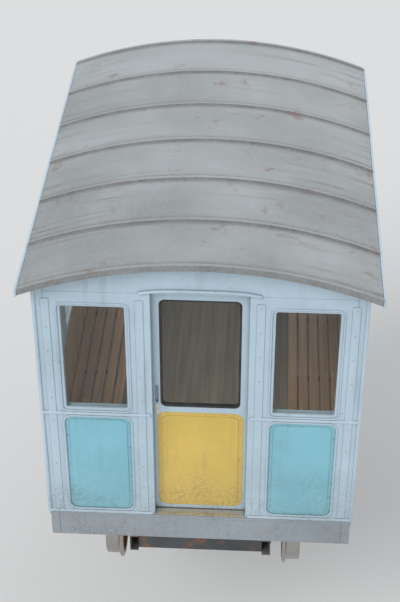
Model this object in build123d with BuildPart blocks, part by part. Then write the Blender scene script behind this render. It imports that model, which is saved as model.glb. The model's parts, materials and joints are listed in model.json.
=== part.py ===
# Funicular car: a level cabin on a wedge-shaped riveted truck, for a steep incline.
# +Z is up, +Y points downhill, and +X is on the right of a person who looks downhill.
# The origin is on the plane of the rail heads, midway between the rails and the axles.
from build123d import *
import os
from math import asin, atan2, cos, degrees, hypot, radians, sin, sqrt, tan

# Driving dimensions, in millimetres, with angles in degrees
# Incline and wheelsets
slope = 35
wheelbase = 2400
gauge = 1250
wheel_radius = 250
flange_height = 28
flange_thickness = 30
tread_width = 100
rim_depth = 42
hub_radius = 92
hub_length = 150
web_thickness = 26
spoke_count = 6
spoke_width = 56
window_gap = 15
window_round = 12
axle_step = 10
axle_radius = 60
journal_radius = 52
seat_radius = 48
running_clearance = 0.05
fit_clearance = 0.05

# Truck
frame_spacing = 940
chord_depth = 140
chord_flange = 60
chord_web = 10
post_depth = 100
post_count = 4
first_post_from_end = 1090
last_post_from_end = 60
gusset_thickness = 10
gusset_width = 250
gusset_height = 210
gusset_corner = 14
gusset_drop = 8
gusset_lift = 32
gusset_edge = 4
foot_gusset_rise = 150
foot_gusset_toe = 20
brace_width = 80
brace_thickness = 12
brace_lean = 55
brace_head = 20
brace_foot = 30
end_brace_width = 60
end_brace_drop = 70
end_brace_rise = 90
axle_box_width = 110
axle_box_wall = 42
axle_box_foot = 300
axle_box_flange = 24
axle_box_shoulder = 216
cross_member_width = 60
cross_member_count = 4
cross_member_inset = 190
brake_reach = 330
brake_gap = 12
brake_shaft_radius = 26
brake_shaft_height = 150
brake_hanger_thickness = 30
brake_hanger_head = 120
brake_hanger_foot = 76
brake_hanger_eye = 44
shoe_width = 60
shoe_depth = 52
shoe_corner = 12
shoe_side_gap = 6
shoe_eye = 42
shoe_neck = 180
buffer_plate = (130, 200, 14)
buffer_pad = (100, 160, 56)
buffer_plate_corner = 10
buffer_pad_corner = 22
buffer_lift = 60

# Rope attachment
drawbar_setback = 250
drawbar_width = 100
drawbar_depth = 170
drawbar_slot = 40
rope_spacing = 240
rope_height = 215
clevis_ear = 22
clevis_slot = 50
clevis_eye_radius = 44
clevis_reach = 95
clevis_plate = 25
clevis_plate_rim = 15
rope_pin_radius = 16

# Cabin
cabin_width = 2100
cabin_length = 2900
frame_clearance = 170
sill_depth = 195
sill_width = 60
bearer_width = 90
bearer_count = 6
deck_thickness = 30
wall = 60
post_width = 140
side_bays = 4
door_opening = 630
door_height = 1900
panel_rise = 35
panel_height = 850
panel_corner = 60
panel_recess = 12
panel_sheet = 6
panel_field = 4
panel_border = 34
waist_rail = 45
window_height = 880
window_corner = 40
wall_height = 1965
glass_thickness = 6

# Roof
roof_rise = 190
roof_thickness = 35
eave_overhang = 80
end_overhang = 110
seam_count = 7
seam_width = 26
seam_height = 12
seam_root = 5
bow_depth = 50
bow_width = 45
bow_count = 5
bow_end_gap = 300
gutter_width = 16
gutter_depth = 46

# Doors
leaf_thickness = 40
leaf_overlap = 30
leaf_gap = 8
leaf_floor_gap = 8
door_travel = 620
leaf_recess = 10
leaf_stile = 80
leaf_panel_edge = 25
leaf_panel_thinning = 1
pull_length = 150
pull_width = 22
pull_depth = 16
pull_lift = 110
track_height = 40
track_thickness = 8
track_lift = 12
track_spacers = 4
track_spacer_radius = 12
track_spacer_inset = 75
stop_length = 30
stop_height = 30
stop_gap = 6
roller_radius = 22
roller_width = 16
roller_gap = 0.3
roller_pin_radius = 7
strap_width = 32
strap_thickness = 6
strap_reach = 75
hanger_offset = 240
handle_height = 1000
handle_length = 220
handle_reach = 42
handle_radius = 8
handle_bend = 20
threshold_thickness = 4
guide_length = 70
guide_width = 20
guide_height = 36
guide_gap = 6
guide_door_gap = 60
guide_wall_gap = 140

# Benches and handrails
seat_height = 430
slat_width = 66
slat_gap = 12
slat_thickness = 25
slat_count = 5
bench_end_gap = 165
bench_frames = 4
bench_leg = 40
bench_leg_setback = 60
bench_nose = 45
bench_haunch = 30
bench_plate = 12
bench_frame_inset = 140
slat_corner = 6
rail_radius = 16
rail_wall_gap = 70
rail_drop = 150
rail_brackets = 4
rail_bracket_radius = 10
rail_bracket_inset = 80
rail_end_gap = 60

# Directions and levels worked out from them
fall = radians(slope)
downhill = Vector(0, cos(fall), -sin(fall))
above_rails = Vector(0, sin(fall), cos(fall))
frame_outer = frame_spacing / 2 + chord_flange / 2
frame_inner = frame_outer - chord_flange
half_width = cabin_width / 2
half_length = cabin_length / 2
inner_half = half_width - wall
wheel_face = gauge / 2


def on_slope(along, above):
    """The point at a distance downhill along the rails and square above their heads."""
    return downhill * along + above_rails * above


def slope_plane(x):
    """A side view whose local X runs downhill along the rails and local Y square to them."""
    return Plane(origin=(x, 0, 0), x_dir=downhill, z_dir=(1, 0, 0))


def end_plane(y):
    """A view of the cabin's end: local X is +X and local Y is +Z, seen from uphill."""
    return Plane.XZ.offset(-y)


def spread(count, reach):
    """Evenly spaced places from -reach to +reach."""
    return [reach * (2 * i / (count - 1) - 1) for i in range(count)]


def write(block, name):
    """Labels a finished piece and writes it as its own STEP file."""
    block.part.label = name
    export_step(block.part, f"parts/{name}.step")


# The inclined chord lies on the axle boxes, and the level chord clears the upper wheels
box_top = wheel_radius + journal_radius + axle_box_wall
chord_top = box_top + chord_depth
upper_axle = on_slope(-wheelbase / 2, wheel_radius)
lower_axle = on_slope(wheelbase / 2, wheel_radius)
level_chord_bottom = upper_axle.Z + wheel_radius + flange_height + frame_clearance - chord_depth
floor_frame_bottom = level_chord_bottom + chord_depth
deck_bottom = floor_frame_bottom + sill_depth
deck_top = deck_bottom + deck_thickness
panel_bottom = deck_top + panel_rise
window_bottom = panel_bottom + panel_height + waist_rail
door_head = deck_top + door_height
wall_top = deck_top + wall_height

os.makedirs("parts", exist_ok=True)


# Rolled channel: its web is on the local +X side and its depth is centred on local Y
def channel(depth, flange, web):
    with BuildSketch() as section:
        with Locations((-flange / 2, 0)):
            Rectangle(flange, depth)
        with Locations((-(flange + web) / 2, 0)):
            Rectangle(flange - web, depth - 2 * web, mode=Mode.SUBTRACT)
    return section.sketch


chord_section = channel(chord_depth, chord_flange, chord_web)
post_section = channel(post_depth, chord_flange, chord_web)

# Level chords, under the cabin's floor
with BuildPart() as top_chords:
    level_start = Plane(
        origin=(frame_outer, -half_length, floor_frame_bottom - chord_depth / 2),
        x_dir=(1, 0, 0),
        z_dir=(0, 1, 0),
    )
    with BuildSketch(level_start):
        add(chord_section)
    extrude(amount=cabin_length)
    mirror(about=Plane.YZ)
write(top_chords, "top_chords")

# Inclined chords, parallel to the rails, cut to the level chords and to the last posts
last_post = half_length - last_post_from_end
chord_end = last_post + post_depth / 2
long_run = 2 * (cabin_length + wheelbase)
with BuildPart() as incline_chords:
    start = on_slope(-long_run / 2, chord_top - chord_depth / 2)
    with BuildSketch(Plane(origin=(frame_outer, start.Y, start.Z), x_dir=(1, 0, 0), z_dir=downhill)):
        add(chord_section)
    extrude(amount=long_run)
    split(bisect_by=Plane.XY.offset(level_chord_bottom), keep=Keep.BOTTOM)
    split(bisect_by=Plane(origin=(0, chord_end, 0), z_dir=(0, 1, 0)), keep=Keep.BOTTOM)
    mirror(about=Plane.YZ)
write(incline_chords, "incline_chords")


# Height of a line that runs parallel to the rails, at a place along the cabin
def slope_z(y, above):
    return above / cos(fall) - y * tan(fall)


# Posts between the chords, cut off on the slope
first_post = first_post_from_end - half_length
post_step = (last_post - first_post) / (post_count - 1)
post_rows = [first_post + i * post_step for i in range(post_count)]
with BuildPart() as truck_posts:
    with BuildSketch(Plane.XY.offset(level_chord_bottom)):
        with Locations(*[(frame_outer, y) for y in post_rows]):
            add(post_section)
    extrude(amount=-long_run)
    split(bisect_by=Plane(origin=on_slope(0, chord_top), z_dir=above_rails), keep=Keep.TOP)
    mirror(about=Plane.YZ)
write(truck_posts, "truck_posts")

# Gusset plates over the joints, on the outer faces of chords and posts
gusset_top = level_chord_bottom + chord_depth - gusset_drop
post_feet = [(y, slope_z(y, chord_top)) for y in post_rows]
with BuildPart() as gusset_plates:
    with BuildSketch(Plane.YZ.offset(frame_outer)):
        with Locations(*[(y, gusset_top - gusset_height / 2) for y in post_rows[:-1]]):
            RectangleRounded(gusset_width, gusset_height, gusset_corner)
        with Locations((chord_end - gusset_width / 2, gusset_top - gusset_height / 2)):
            RectangleRounded(gusset_width, gusset_height, gusset_corner)
    extrude(amount=gusset_thickness)
    with BuildSketch(slope_plane(frame_outer)):
        for y, z in post_feet[:-1]:
            along = y * cos(fall) - z * sin(fall)
            with Locations((along, chord_top - chord_depth / 2 + gusset_lift)):
                RectangleRounded(gusset_width, gusset_height, gusset_corner)
    extrude(amount=gusset_thickness)
    with BuildSketch(Plane.YZ.offset(frame_outer)):
        inner_edge = chord_end - gusset_width
        outer_edge = chord_end - gusset_edge
        low_line = box_top + gusset_drop
        with BuildLine():
            Polyline(
                (outer_edge, post_feet[-1][1] + foot_gusset_rise),
                (outer_edge, slope_z(chord_end, low_line)),
                (inner_edge, slope_z(inner_edge, low_line)),
                (inner_edge, slope_z(inner_edge, chord_top) + foot_gusset_toe),
                close=True,
            )
        make_face()
    extrude(amount=gusset_thickness)
    mirror(about=Plane.YZ)
write(gusset_plates, "gusset_plates")

# Flat diagonal braces, riveted on the gussets, each from a post's head to the next one's foot
brace_layer = frame_outer + gusset_thickness
head_z = gusset_top - gusset_height / 2 - brace_head
with BuildPart() as truck_braces:
    with BuildSketch(Plane.YZ.offset(brace_layer)):
        for y_head, (y_foot, z_foot) in zip(post_rows[:-1], post_feet[1:]):
            run = y_foot - y_head - 2 * brace_lean
            drop = z_foot + brace_foot - head_z
            middle = ((y_head + y_foot) / 2, head_z + drop / 2)
            with Locations(middle):
                SlotCenterToCenter(hypot(run, drop), brace_width, rotation=degrees(atan2(drop, run)))
    extrude(amount=brace_thickness)
    mirror(about=Plane.YZ)
write(truck_braces, "truck_braces")

# Cross members between the side frames: level ones under the floor, others at the chords
member_rows = [cross_member_width - half_length] + post_rows
slope_members = spread(cross_member_count, wheelbase / 2 - cross_member_inset)
with BuildPart() as cross_members:
    with BuildSketch(Plane.YZ.offset(-frame_inner)):
        with Locations(*[(y, floor_frame_bottom - chord_depth / 2) for y in member_rows]):
            Rectangle(cross_member_width, chord_depth)
    extrude(amount=2 * frame_inner)
    with BuildSketch(slope_plane(-frame_inner)):
        with Locations(*[(along, chord_top - chord_depth / 2) for along in slope_members]):
            Rectangle(cross_member_width, chord_depth)
    extrude(amount=2 * frame_inner)
write(cross_members, "cross_members")

# Crossed flat bars that square the downhill end, one on each face of the last posts
end_brace_head = level_chord_bottom - end_brace_drop
end_brace_foot = slope_z(last_post, chord_top) + end_brace_rise
with BuildPart() as end_braces:
    rise = end_brace_head - end_brace_foot
    span = 2 * (frame_outer - chord_flange / 2)
    for turn, y in ((1, last_post + post_depth / 2), (-1, last_post - post_depth / 2)):
        with BuildSketch(end_plane(y)):
            with Locations((0, (end_brace_head + end_brace_foot) / 2)):
                tilt = turn * degrees(atan2(rise, span))
                SlotCenterToCenter(hypot(rise, span), end_brace_width, rotation=tilt)
        extrude(amount=-turn * brace_thickness)
write(end_braces, "end_braces")

# Axle boxes: bolted under the inclined chords, each with the journal's running bore
box_x = frame_spacing / 2 - axle_box_width / 2
with BuildPart() as axle_boxes:
    with BuildSketch(slope_plane(box_x)):
        for along in (-wheelbase / 2, wheelbase / 2):
            with Locations((along, wheel_radius)):
                Circle(journal_radius + axle_box_wall)
            with Locations((along, box_top - axle_box_flange / 2)):
                Rectangle(axle_box_foot, axle_box_flange)
            with BuildLine():
                Polyline(
                    (along - axle_box_shoulder / 2, box_top - axle_box_flange / 2),
                    (along + axle_box_shoulder / 2, box_top - axle_box_flange / 2),
                    (along + journal_radius + axle_box_wall, wheel_radius),
                    (along - journal_radius - axle_box_wall, wheel_radius),
                    close=True,
                )
            make_face()
        for along in (-wheelbase / 2, wheelbase / 2):
            with Locations((along, wheel_radius)):
                Circle(journal_radius + running_clearance, mode=Mode.SUBTRACT)
    extrude(amount=axle_box_width)
    mirror(about=Plane.YZ)
write(axle_boxes, "axle_boxes")

# Wheelsets: a stepped axle and two spoked wheels with flanges, on each of two axles
hub_inner = wheel_face - flange_thickness
rim_inner = wheel_radius - rim_depth
web_x = wheel_face + tread_width / 2
window_inner = hub_radius + window_gap
window_outer = rim_inner - window_gap
axle_shoulder = frame_spacing / 2 - axle_box_width / 2 - axle_step

# A window between two spokes: a sector with straight sides and rounded corners
with BuildSketch() as spoke_window:
    half_step = radians(180 / spoke_count)
    inner_turn = half_step - asin(spoke_width / 2 / window_inner)
    outer_turn = half_step - asin(spoke_width / 2 / window_outer)
    with BuildLine():
        inner_a = (window_inner * cos(inner_turn), -window_inner * sin(inner_turn))
        inner_b = (window_inner * cos(inner_turn), window_inner * sin(inner_turn))
        outer_a = (window_outer * cos(outer_turn), -window_outer * sin(outer_turn))
        outer_b = (window_outer * cos(outer_turn), window_outer * sin(outer_turn))
        Line(inner_a, outer_a)
        ThreePointArc(outer_a, (window_outer, 0), outer_b)
        Line(outer_b, inner_b)
        ThreePointArc(inner_b, (window_inner, 0), inner_a)
    make_face()
    fillet(spoke_window.vertices(), window_round)

for name, centre in (("upper", upper_axle), ("lower", lower_axle)):
    spin = Axis((0, centre.Y, centre.Z), (1, 0, 0))
    hub_plane = Plane(origin=(0, centre.Y, centre.Z), x_dir=(1, 0, 0), z_dir=(0, -1, 0))

    with BuildPart() as axle:
        with BuildSketch(hub_plane):
            with BuildLine():
                Polyline(
                    (0, 0),
                    (hub_inner + hub_length + 8, 0),
                    (hub_inner + hub_length + 8, seat_radius - 6),
                    (hub_inner + hub_length + 2, seat_radius),
                    (hub_inner, seat_radius),
                    (hub_inner, journal_radius),
                    (axle_shoulder, journal_radius),
                    (axle_shoulder - 8, axle_radius),
                    (0, axle_radius),
                    close=True,
                )
            make_face()
        revolve(axis=spin)
        mirror(about=Plane.YZ)
    write(axle, f"{name}_axle")

    with BuildPart() as wheels:
        with BuildSketch(hub_plane):
            with BuildLine():
                Polyline(
                    (hub_inner, seat_radius + fit_clearance),
                    (hub_inner + hub_length, seat_radius + fit_clearance),
                    (hub_inner + hub_length, hub_radius - 10),
                    (hub_inner + hub_length - 10, hub_radius),
                    (web_x + web_thickness / 2, hub_radius + 6),
                    (web_x + web_thickness / 2, rim_inner),
                    (wheel_face + tread_width, rim_inner + 6),
                    (wheel_face + tread_width, wheel_radius - 9),
                    (wheel_face + tread_width - 6, wheel_radius - 3),
                    (wheel_face + 8, wheel_radius),
                    (wheel_face, wheel_radius + 8),
                    (wheel_face - 9, wheel_radius + flange_height),
                    (wheel_face - 19, wheel_radius + flange_height),
                    (wheel_face - flange_thickness, wheel_radius + flange_height - 14),
                    (wheel_face - flange_thickness, rim_inner + 6),
                    (web_x - web_thickness / 2, rim_inner),
                    (web_x - web_thickness / 2, hub_radius + 6),
                    (hub_inner + 10, hub_radius),
                    (hub_inner, hub_radius - 10),
                    close=True,
                )
            make_face()
        revolve(axis=spin)
        with BuildSketch(Plane(origin=(web_x, centre.Y, centre.Z), x_dir=(0, 1, 0), z_dir=(1, 0, 0))):
            with PolarLocations(0, spoke_count):
                add(spoke_window.sketch)
        extrude(amount=web_thickness, both=True, mode=Mode.SUBTRACT)
        mirror(about=Plane.YZ)
    write(wheels, f"{name}_wheels")

# Drawbar: the beam under the uphill ends of the inclined chords, which takes the ropes' pull
drawbar_s = -wheelbase / 2 - drawbar_setback
with BuildPart() as rope_drawbar:
    with BuildSketch(slope_plane(0)):
        with Locations((drawbar_s, box_top - drawbar_depth / 2)):
            Rectangle(drawbar_width, drawbar_depth)
        with Locations((drawbar_s + drawbar_width / 2, box_top - drawbar_depth / 2)):
            Rectangle(2 * drawbar_slot, drawbar_depth - 4 * chord_web, mode=Mode.SUBTRACT)
    extrude(amount=frame_outer, both=True)
write(rope_drawbar, "rope_drawbar")

# Clevises on the drawbar's uphill face, one for each rope, with their pin bores across
clevis_face = drawbar_s - drawbar_width / 2
eye_s = clevis_face - clevis_reach
with BuildPart() as rope_clevises:
    for x in (-rope_spacing / 2, rope_spacing / 2):
        ear_spread = clevis_slot / 2 + clevis_ear
        with BuildSketch(slope_plane(x)):
            with Locations((eye_s, rope_height)):
                Circle(clevis_eye_radius)
            with Locations(((eye_s + clevis_face) / 2, rope_height)):
                Rectangle(clevis_reach, 2 * clevis_eye_radius)
            with Locations((clevis_face - clevis_plate / 2, rope_height)):
                Rectangle(clevis_plate, 2 * (clevis_eye_radius + clevis_plate_rim))
        extrude(amount=ear_spread, both=True)
        with BuildSketch(slope_plane(x)):
            with Locations((clevis_face - clevis_plate - clevis_reach, rope_height)):
                Rectangle(2 * clevis_reach, 3 * clevis_eye_radius)
        extrude(amount=clevis_slot / 2, both=True, mode=Mode.SUBTRACT)
        with BuildSketch(slope_plane(x)):
            with Locations((eye_s, rope_height)):
                Circle(rope_pin_radius)
        extrude(amount=ear_spread + 1, both=True, mode=Mode.SUBTRACT)
write(rope_clevises, "rope_clevises")

# Rail brakes: a cross shaft hung under the chords, with a shoe over each rail
shoe_x = wheel_face + shoe_width / 2 + shoe_side_gap
hanger_x = frame_spacing / 2 - brake_hanger_thickness
with BuildPart() as brake_shaft:
    with BuildSketch(slope_plane(0)):
        with Locations((0, brake_shaft_height)):
            Circle(brake_shaft_radius)
    extrude(amount=shoe_x - shoe_width / 2, both=True)
write(brake_shaft, "brake_shaft")

with BuildPart() as brake_hangers:
    with BuildSketch(slope_plane(hanger_x)):
        with BuildLine():
            Polyline(
                (-brake_hanger_head / 2, box_top),
                (brake_hanger_head / 2, box_top),
                (brake_hanger_foot / 2, brake_shaft_height),
                (-brake_hanger_foot / 2, brake_shaft_height),
                close=True,
            )
        make_face()
        with Locations((0, brake_shaft_height)):
            Circle(brake_hanger_eye)
            Circle(brake_shaft_radius + fit_clearance, mode=Mode.SUBTRACT)
    extrude(amount=brake_hanger_thickness)
    mirror(about=Plane.YZ)
write(brake_hangers, "brake_hangers")

with BuildPart() as brake_shoes:
    with BuildSketch(slope_plane(shoe_x - shoe_width / 2)):
        with Locations((0, brake_gap + shoe_depth / 2)):
            RectangleRounded(brake_reach, shoe_depth, shoe_corner)
        with BuildLine():
            neck_z = brake_gap + shoe_depth - shoe_corner
            Polyline(
                (-shoe_neck / 2, neck_z),
                (shoe_neck / 2, neck_z),
                (shoe_eye, brake_shaft_height),
                (-shoe_eye, brake_shaft_height),
                close=True,
            )
        make_face()
        with Locations((0, brake_shaft_height)):
            Circle(shoe_eye)
    extrude(amount=shoe_width)
    mirror(about=Plane.YZ)
write(brake_shoes, "brake_shoes")

# Buffer pads on the downhill ends of the side frames
buffer_z = slope_z(chord_end, chord_top - chord_depth / 2) + buffer_lift
with BuildPart() as buffer_pads:
    with BuildSketch(end_plane(chord_end)):
        with Locations((frame_spacing / 2, buffer_z)):
            RectangleRounded(buffer_plate[0], buffer_plate[1], buffer_plate_corner)
    extrude(amount=-buffer_plate[2])
    with BuildSketch(end_plane(chord_end + buffer_plate[2])):
        with Locations((frame_spacing / 2, buffer_z)):
            RectangleRounded(buffer_pad[0], buffer_pad[1], buffer_pad_corner)
    extrude(amount=-buffer_pad[2])
    mirror(about=Plane.YZ)
write(buffer_pads, "buffer_pads")

# Floor frame: sills round the edge, bearers across, and the deck over them
sill_z = floor_frame_bottom + sill_depth / 2
with BuildPart() as side_sills:
    with BuildSketch(end_plane(-half_length)):
        with Locations((half_width - sill_width / 2, sill_z)):
            Rectangle(sill_width, sill_depth)
    extrude(amount=-cabin_length)
    mirror(about=Plane.YZ)
write(side_sills, "side_sills")

with BuildPart() as end_sills:
    with BuildSketch(Plane.YZ.offset(sill_width - half_width)):
        with Locations(*[(end * (half_length - sill_width / 2), sill_z) for end in (-1, 1)]):
            Rectangle(sill_width, sill_depth)
    extrude(amount=cabin_width - 2 * sill_width)
write(end_sills, "end_sills")

with BuildPart() as floor_bearers:
    bearer_reach = half_length - 2 * sill_width - bearer_width
    with BuildSketch(Plane.YZ.offset(sill_width - half_width)):
        with Locations(*[(y, sill_z) for y in spread(bearer_count, bearer_reach)]):
            Rectangle(bearer_width, sill_depth)
    extrude(amount=cabin_width - 2 * sill_width)
write(floor_bearers, "floor_bearers")

with BuildPart() as floor_deck:
    with BuildSketch(Plane.XY.offset(deck_bottom)):
        Rectangle(cabin_width, cabin_length)
    extrude(amount=deck_thickness)
write(floor_deck, "floor_deck")

# Roof: an arched shell with raised seams, whose underside also trims the walls, gables and bows
arch_radius = (half_width**2 + roof_rise**2) / (2 * roof_rise)
arch_centre = wall_top + roof_rise - arch_radius
roof_half = half_width + eave_overhang


def arch_z(x, radius):
    """Height of an arch about the roof's centre line, at a distance from its middle."""
    return arch_centre + sqrt(radius**2 - x**2)


def arch_band(reach, low_radius, high_radius):
    """The strip between two arches that share the roof's centre line."""
    with BuildSketch() as band:
        with BuildLine():
            low_end = (reach, arch_z(reach, low_radius))
            high_end = (reach, arch_z(reach, high_radius))
            ThreePointArc((-reach, low_end[1]), (0, arch_z(0, low_radius)), low_end)
            Line(low_end, high_end)
            ThreePointArc(high_end, (0, arch_z(0, high_radius)), (-reach, high_end[1]))
            Line((-reach, high_end[1]), (-reach, low_end[1]))
        make_face()
    return band.sketch


bow_band = arch_band(inner_half, arch_radius - bow_depth, arch_radius)
trim_band = arch_band(roof_half, arch_radius, arch_radius + 2 * roof_rise)
roof_top_radius = arch_radius + roof_thickness
roof_band = arch_band(roof_half, arch_radius, roof_top_radius)
seam_band = arch_band(roof_half, roof_top_radius - seam_root, roof_top_radius + seam_height)

with BuildPart() as roof:
    with BuildSketch(end_plane(0)):
        add(roof_band)
    extrude(amount=half_length + end_overhang, both=True)
    for y in spread(seam_count, half_length + end_overhang - seam_width / 2):
        with BuildSketch(end_plane(y)):
            add(seam_band)
        extrude(amount=seam_width / 2, both=True)
write(roof, "roof")

with BuildPart() as roof_bows:
    for y in spread(bow_count, half_length - bow_end_gap):
        with BuildSketch(end_plane(y)):
            add(bow_band)
        extrude(amount=bow_width / 2, both=True)
write(roof_bows, "roof_bows")

with BuildPart() as gutters:
    with BuildSketch(end_plane(0)):
        gutter_top = arch_z(roof_half, roof_top_radius)
        with Locations((roof_half + gutter_width / 2, gutter_top - gutter_depth / 2)):
            Rectangle(gutter_width, gutter_depth)
    extrude(amount=half_length + end_overhang, both=True)
    mirror(about=Plane.YZ)
write(gutters, "gutters")

# The space above the roof's underside, which is cut off everything that ends there
with BuildPart() as roof_space:
    with BuildSketch(end_plane(0)):
        add(trim_band)
    extrude(amount=half_length + 2 * end_overhang, both=True)

# Side walls: four windows above four recessed panels, between posts
side_bay = (cabin_length - (side_bays + 1) * post_width) / side_bays
side_rows = spread(side_bays, half_length - post_width - side_bay / 2)
panel_z = panel_bottom + panel_height / 2
window_z = window_bottom + window_height / 2
blank_height = wall_height + roof_rise
for name, side in (("left", -1), ("right", 1)):
    with BuildPart() as side_wall:
        with BuildSketch(Plane.YZ.offset(side * inner_half)):
            with Locations((0, deck_top + blank_height / 2)):
                Rectangle(cabin_length, blank_height)
            with Locations(*[(y, window_z) for y in side_rows]):
                RectangleRounded(side_bay, window_height, window_corner, mode=Mode.SUBTRACT)
        extrude(amount=side * wall)
        with BuildSketch(Plane.YZ.offset(side * half_width)):
            with Locations(*[(y, panel_z) for y in side_rows]):
                RectangleRounded(side_bay, panel_height, panel_corner)
        extrude(amount=-side * panel_recess, mode=Mode.SUBTRACT)
        add(roof_space.part, mode=Mode.SUBTRACT)
    write(side_wall, f"{name}_side_wall")


# A pressed sheet in a recess: a flat border with a raised field inside it
with BuildPart() as side_panels:
    for side in (-1, 1):
        recess_floor = side * (half_width - panel_recess)
        with BuildSketch(Plane.YZ.offset(recess_floor)):
            with Locations(*[(y, panel_z) for y in side_rows]):
                RectangleRounded(side_bay, panel_height, panel_corner)
        extrude(amount=side * panel_sheet)
        with BuildSketch(Plane.YZ.offset(recess_floor + side * panel_sheet)):
            with Locations(*[(y, panel_z) for y in side_rows]):
                field = (side_bay - 2 * panel_border, panel_height - 2 * panel_border)
                RectangleRounded(*field, panel_corner - panel_border / 2)
        extrude(amount=side * panel_field)
write(side_panels, "side_panels")

with BuildPart() as side_windows:
    for side in (-1, 1):
        with BuildSketch(Plane.YZ.offset(side * (half_width - wall / 2))):
            with Locations(*[(y, window_z) for y in side_rows]):
                RectangleRounded(side_bay, window_height, window_corner)
        extrude(amount=glass_thickness / 2, both=True)
write(side_windows, "side_windows")

# End walls: a bay on each side of the doorway, and a gable over both
end_bay = (cabin_width - 4 * post_width - door_opening) / 2
bay_width = inner_half - door_opening / 2
bay_x = door_opening / 2 + bay_width / 2
pane_x = door_opening / 2 + post_width + end_bay / 2
ends = (("uphill", -1), ("downhill", 1))
for name, end in ends:
    for hand, side in (("left", -1), ("right", 1)):
        with BuildPart() as bay:
            with BuildSketch(end_plane(end * (half_length - wall))):
                with Locations((side * bay_x, deck_top + door_height / 2)):
                    Rectangle(bay_width, door_height)
                with Locations((side * pane_x, window_z)):
                    RectangleRounded(end_bay, window_height, window_corner, mode=Mode.SUBTRACT)
            extrude(amount=-end * wall)
            with BuildSketch(end_plane(end * half_length)):
                with Locations((side * pane_x, panel_z)):
                    RectangleRounded(end_bay, panel_height, panel_corner)
            extrude(amount=end * panel_recess, mode=Mode.SUBTRACT)
        write(bay, f"{name}_{hand}_bay")

    with BuildPart() as gable:
        with BuildSketch(end_plane(end * (half_length - wall))):
            gable_height = wall_top + roof_rise - door_head
            with Locations((0, door_head + gable_height / 2)):
                Rectangle(2 * inner_half, gable_height)
        extrude(amount=-end * wall)
        add(roof_space.part, mode=Mode.SUBTRACT)
    write(gable, f"{name}_gable")

with BuildPart() as end_panels:
    for name, end in ends:
        recess_floor = end * (half_length - panel_recess)
        with BuildSketch(end_plane(recess_floor)):
            with Locations((-pane_x, panel_z), (pane_x, panel_z)):
                RectangleRounded(end_bay, panel_height, panel_corner)
        extrude(amount=-end * panel_sheet)
        with BuildSketch(end_plane(recess_floor + end * panel_sheet)):
            with Locations((-pane_x, panel_z), (pane_x, panel_z)):
                field = (end_bay - 2 * panel_border, panel_height - 2 * panel_border)
                RectangleRounded(*field, panel_corner - panel_border / 2)
        extrude(amount=-end * panel_field)
write(end_panels, "end_panels")

with BuildPart() as end_windows:
    for name, end in ends:
        with BuildSketch(end_plane(end * (half_length - wall / 2))):
            with Locations((-pane_x, window_z), (pane_x, window_z)):
                RectangleRounded(end_bay, window_height, window_corner)
        extrude(amount=glass_thickness / 2, both=True)
write(end_windows, "end_windows")

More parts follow.
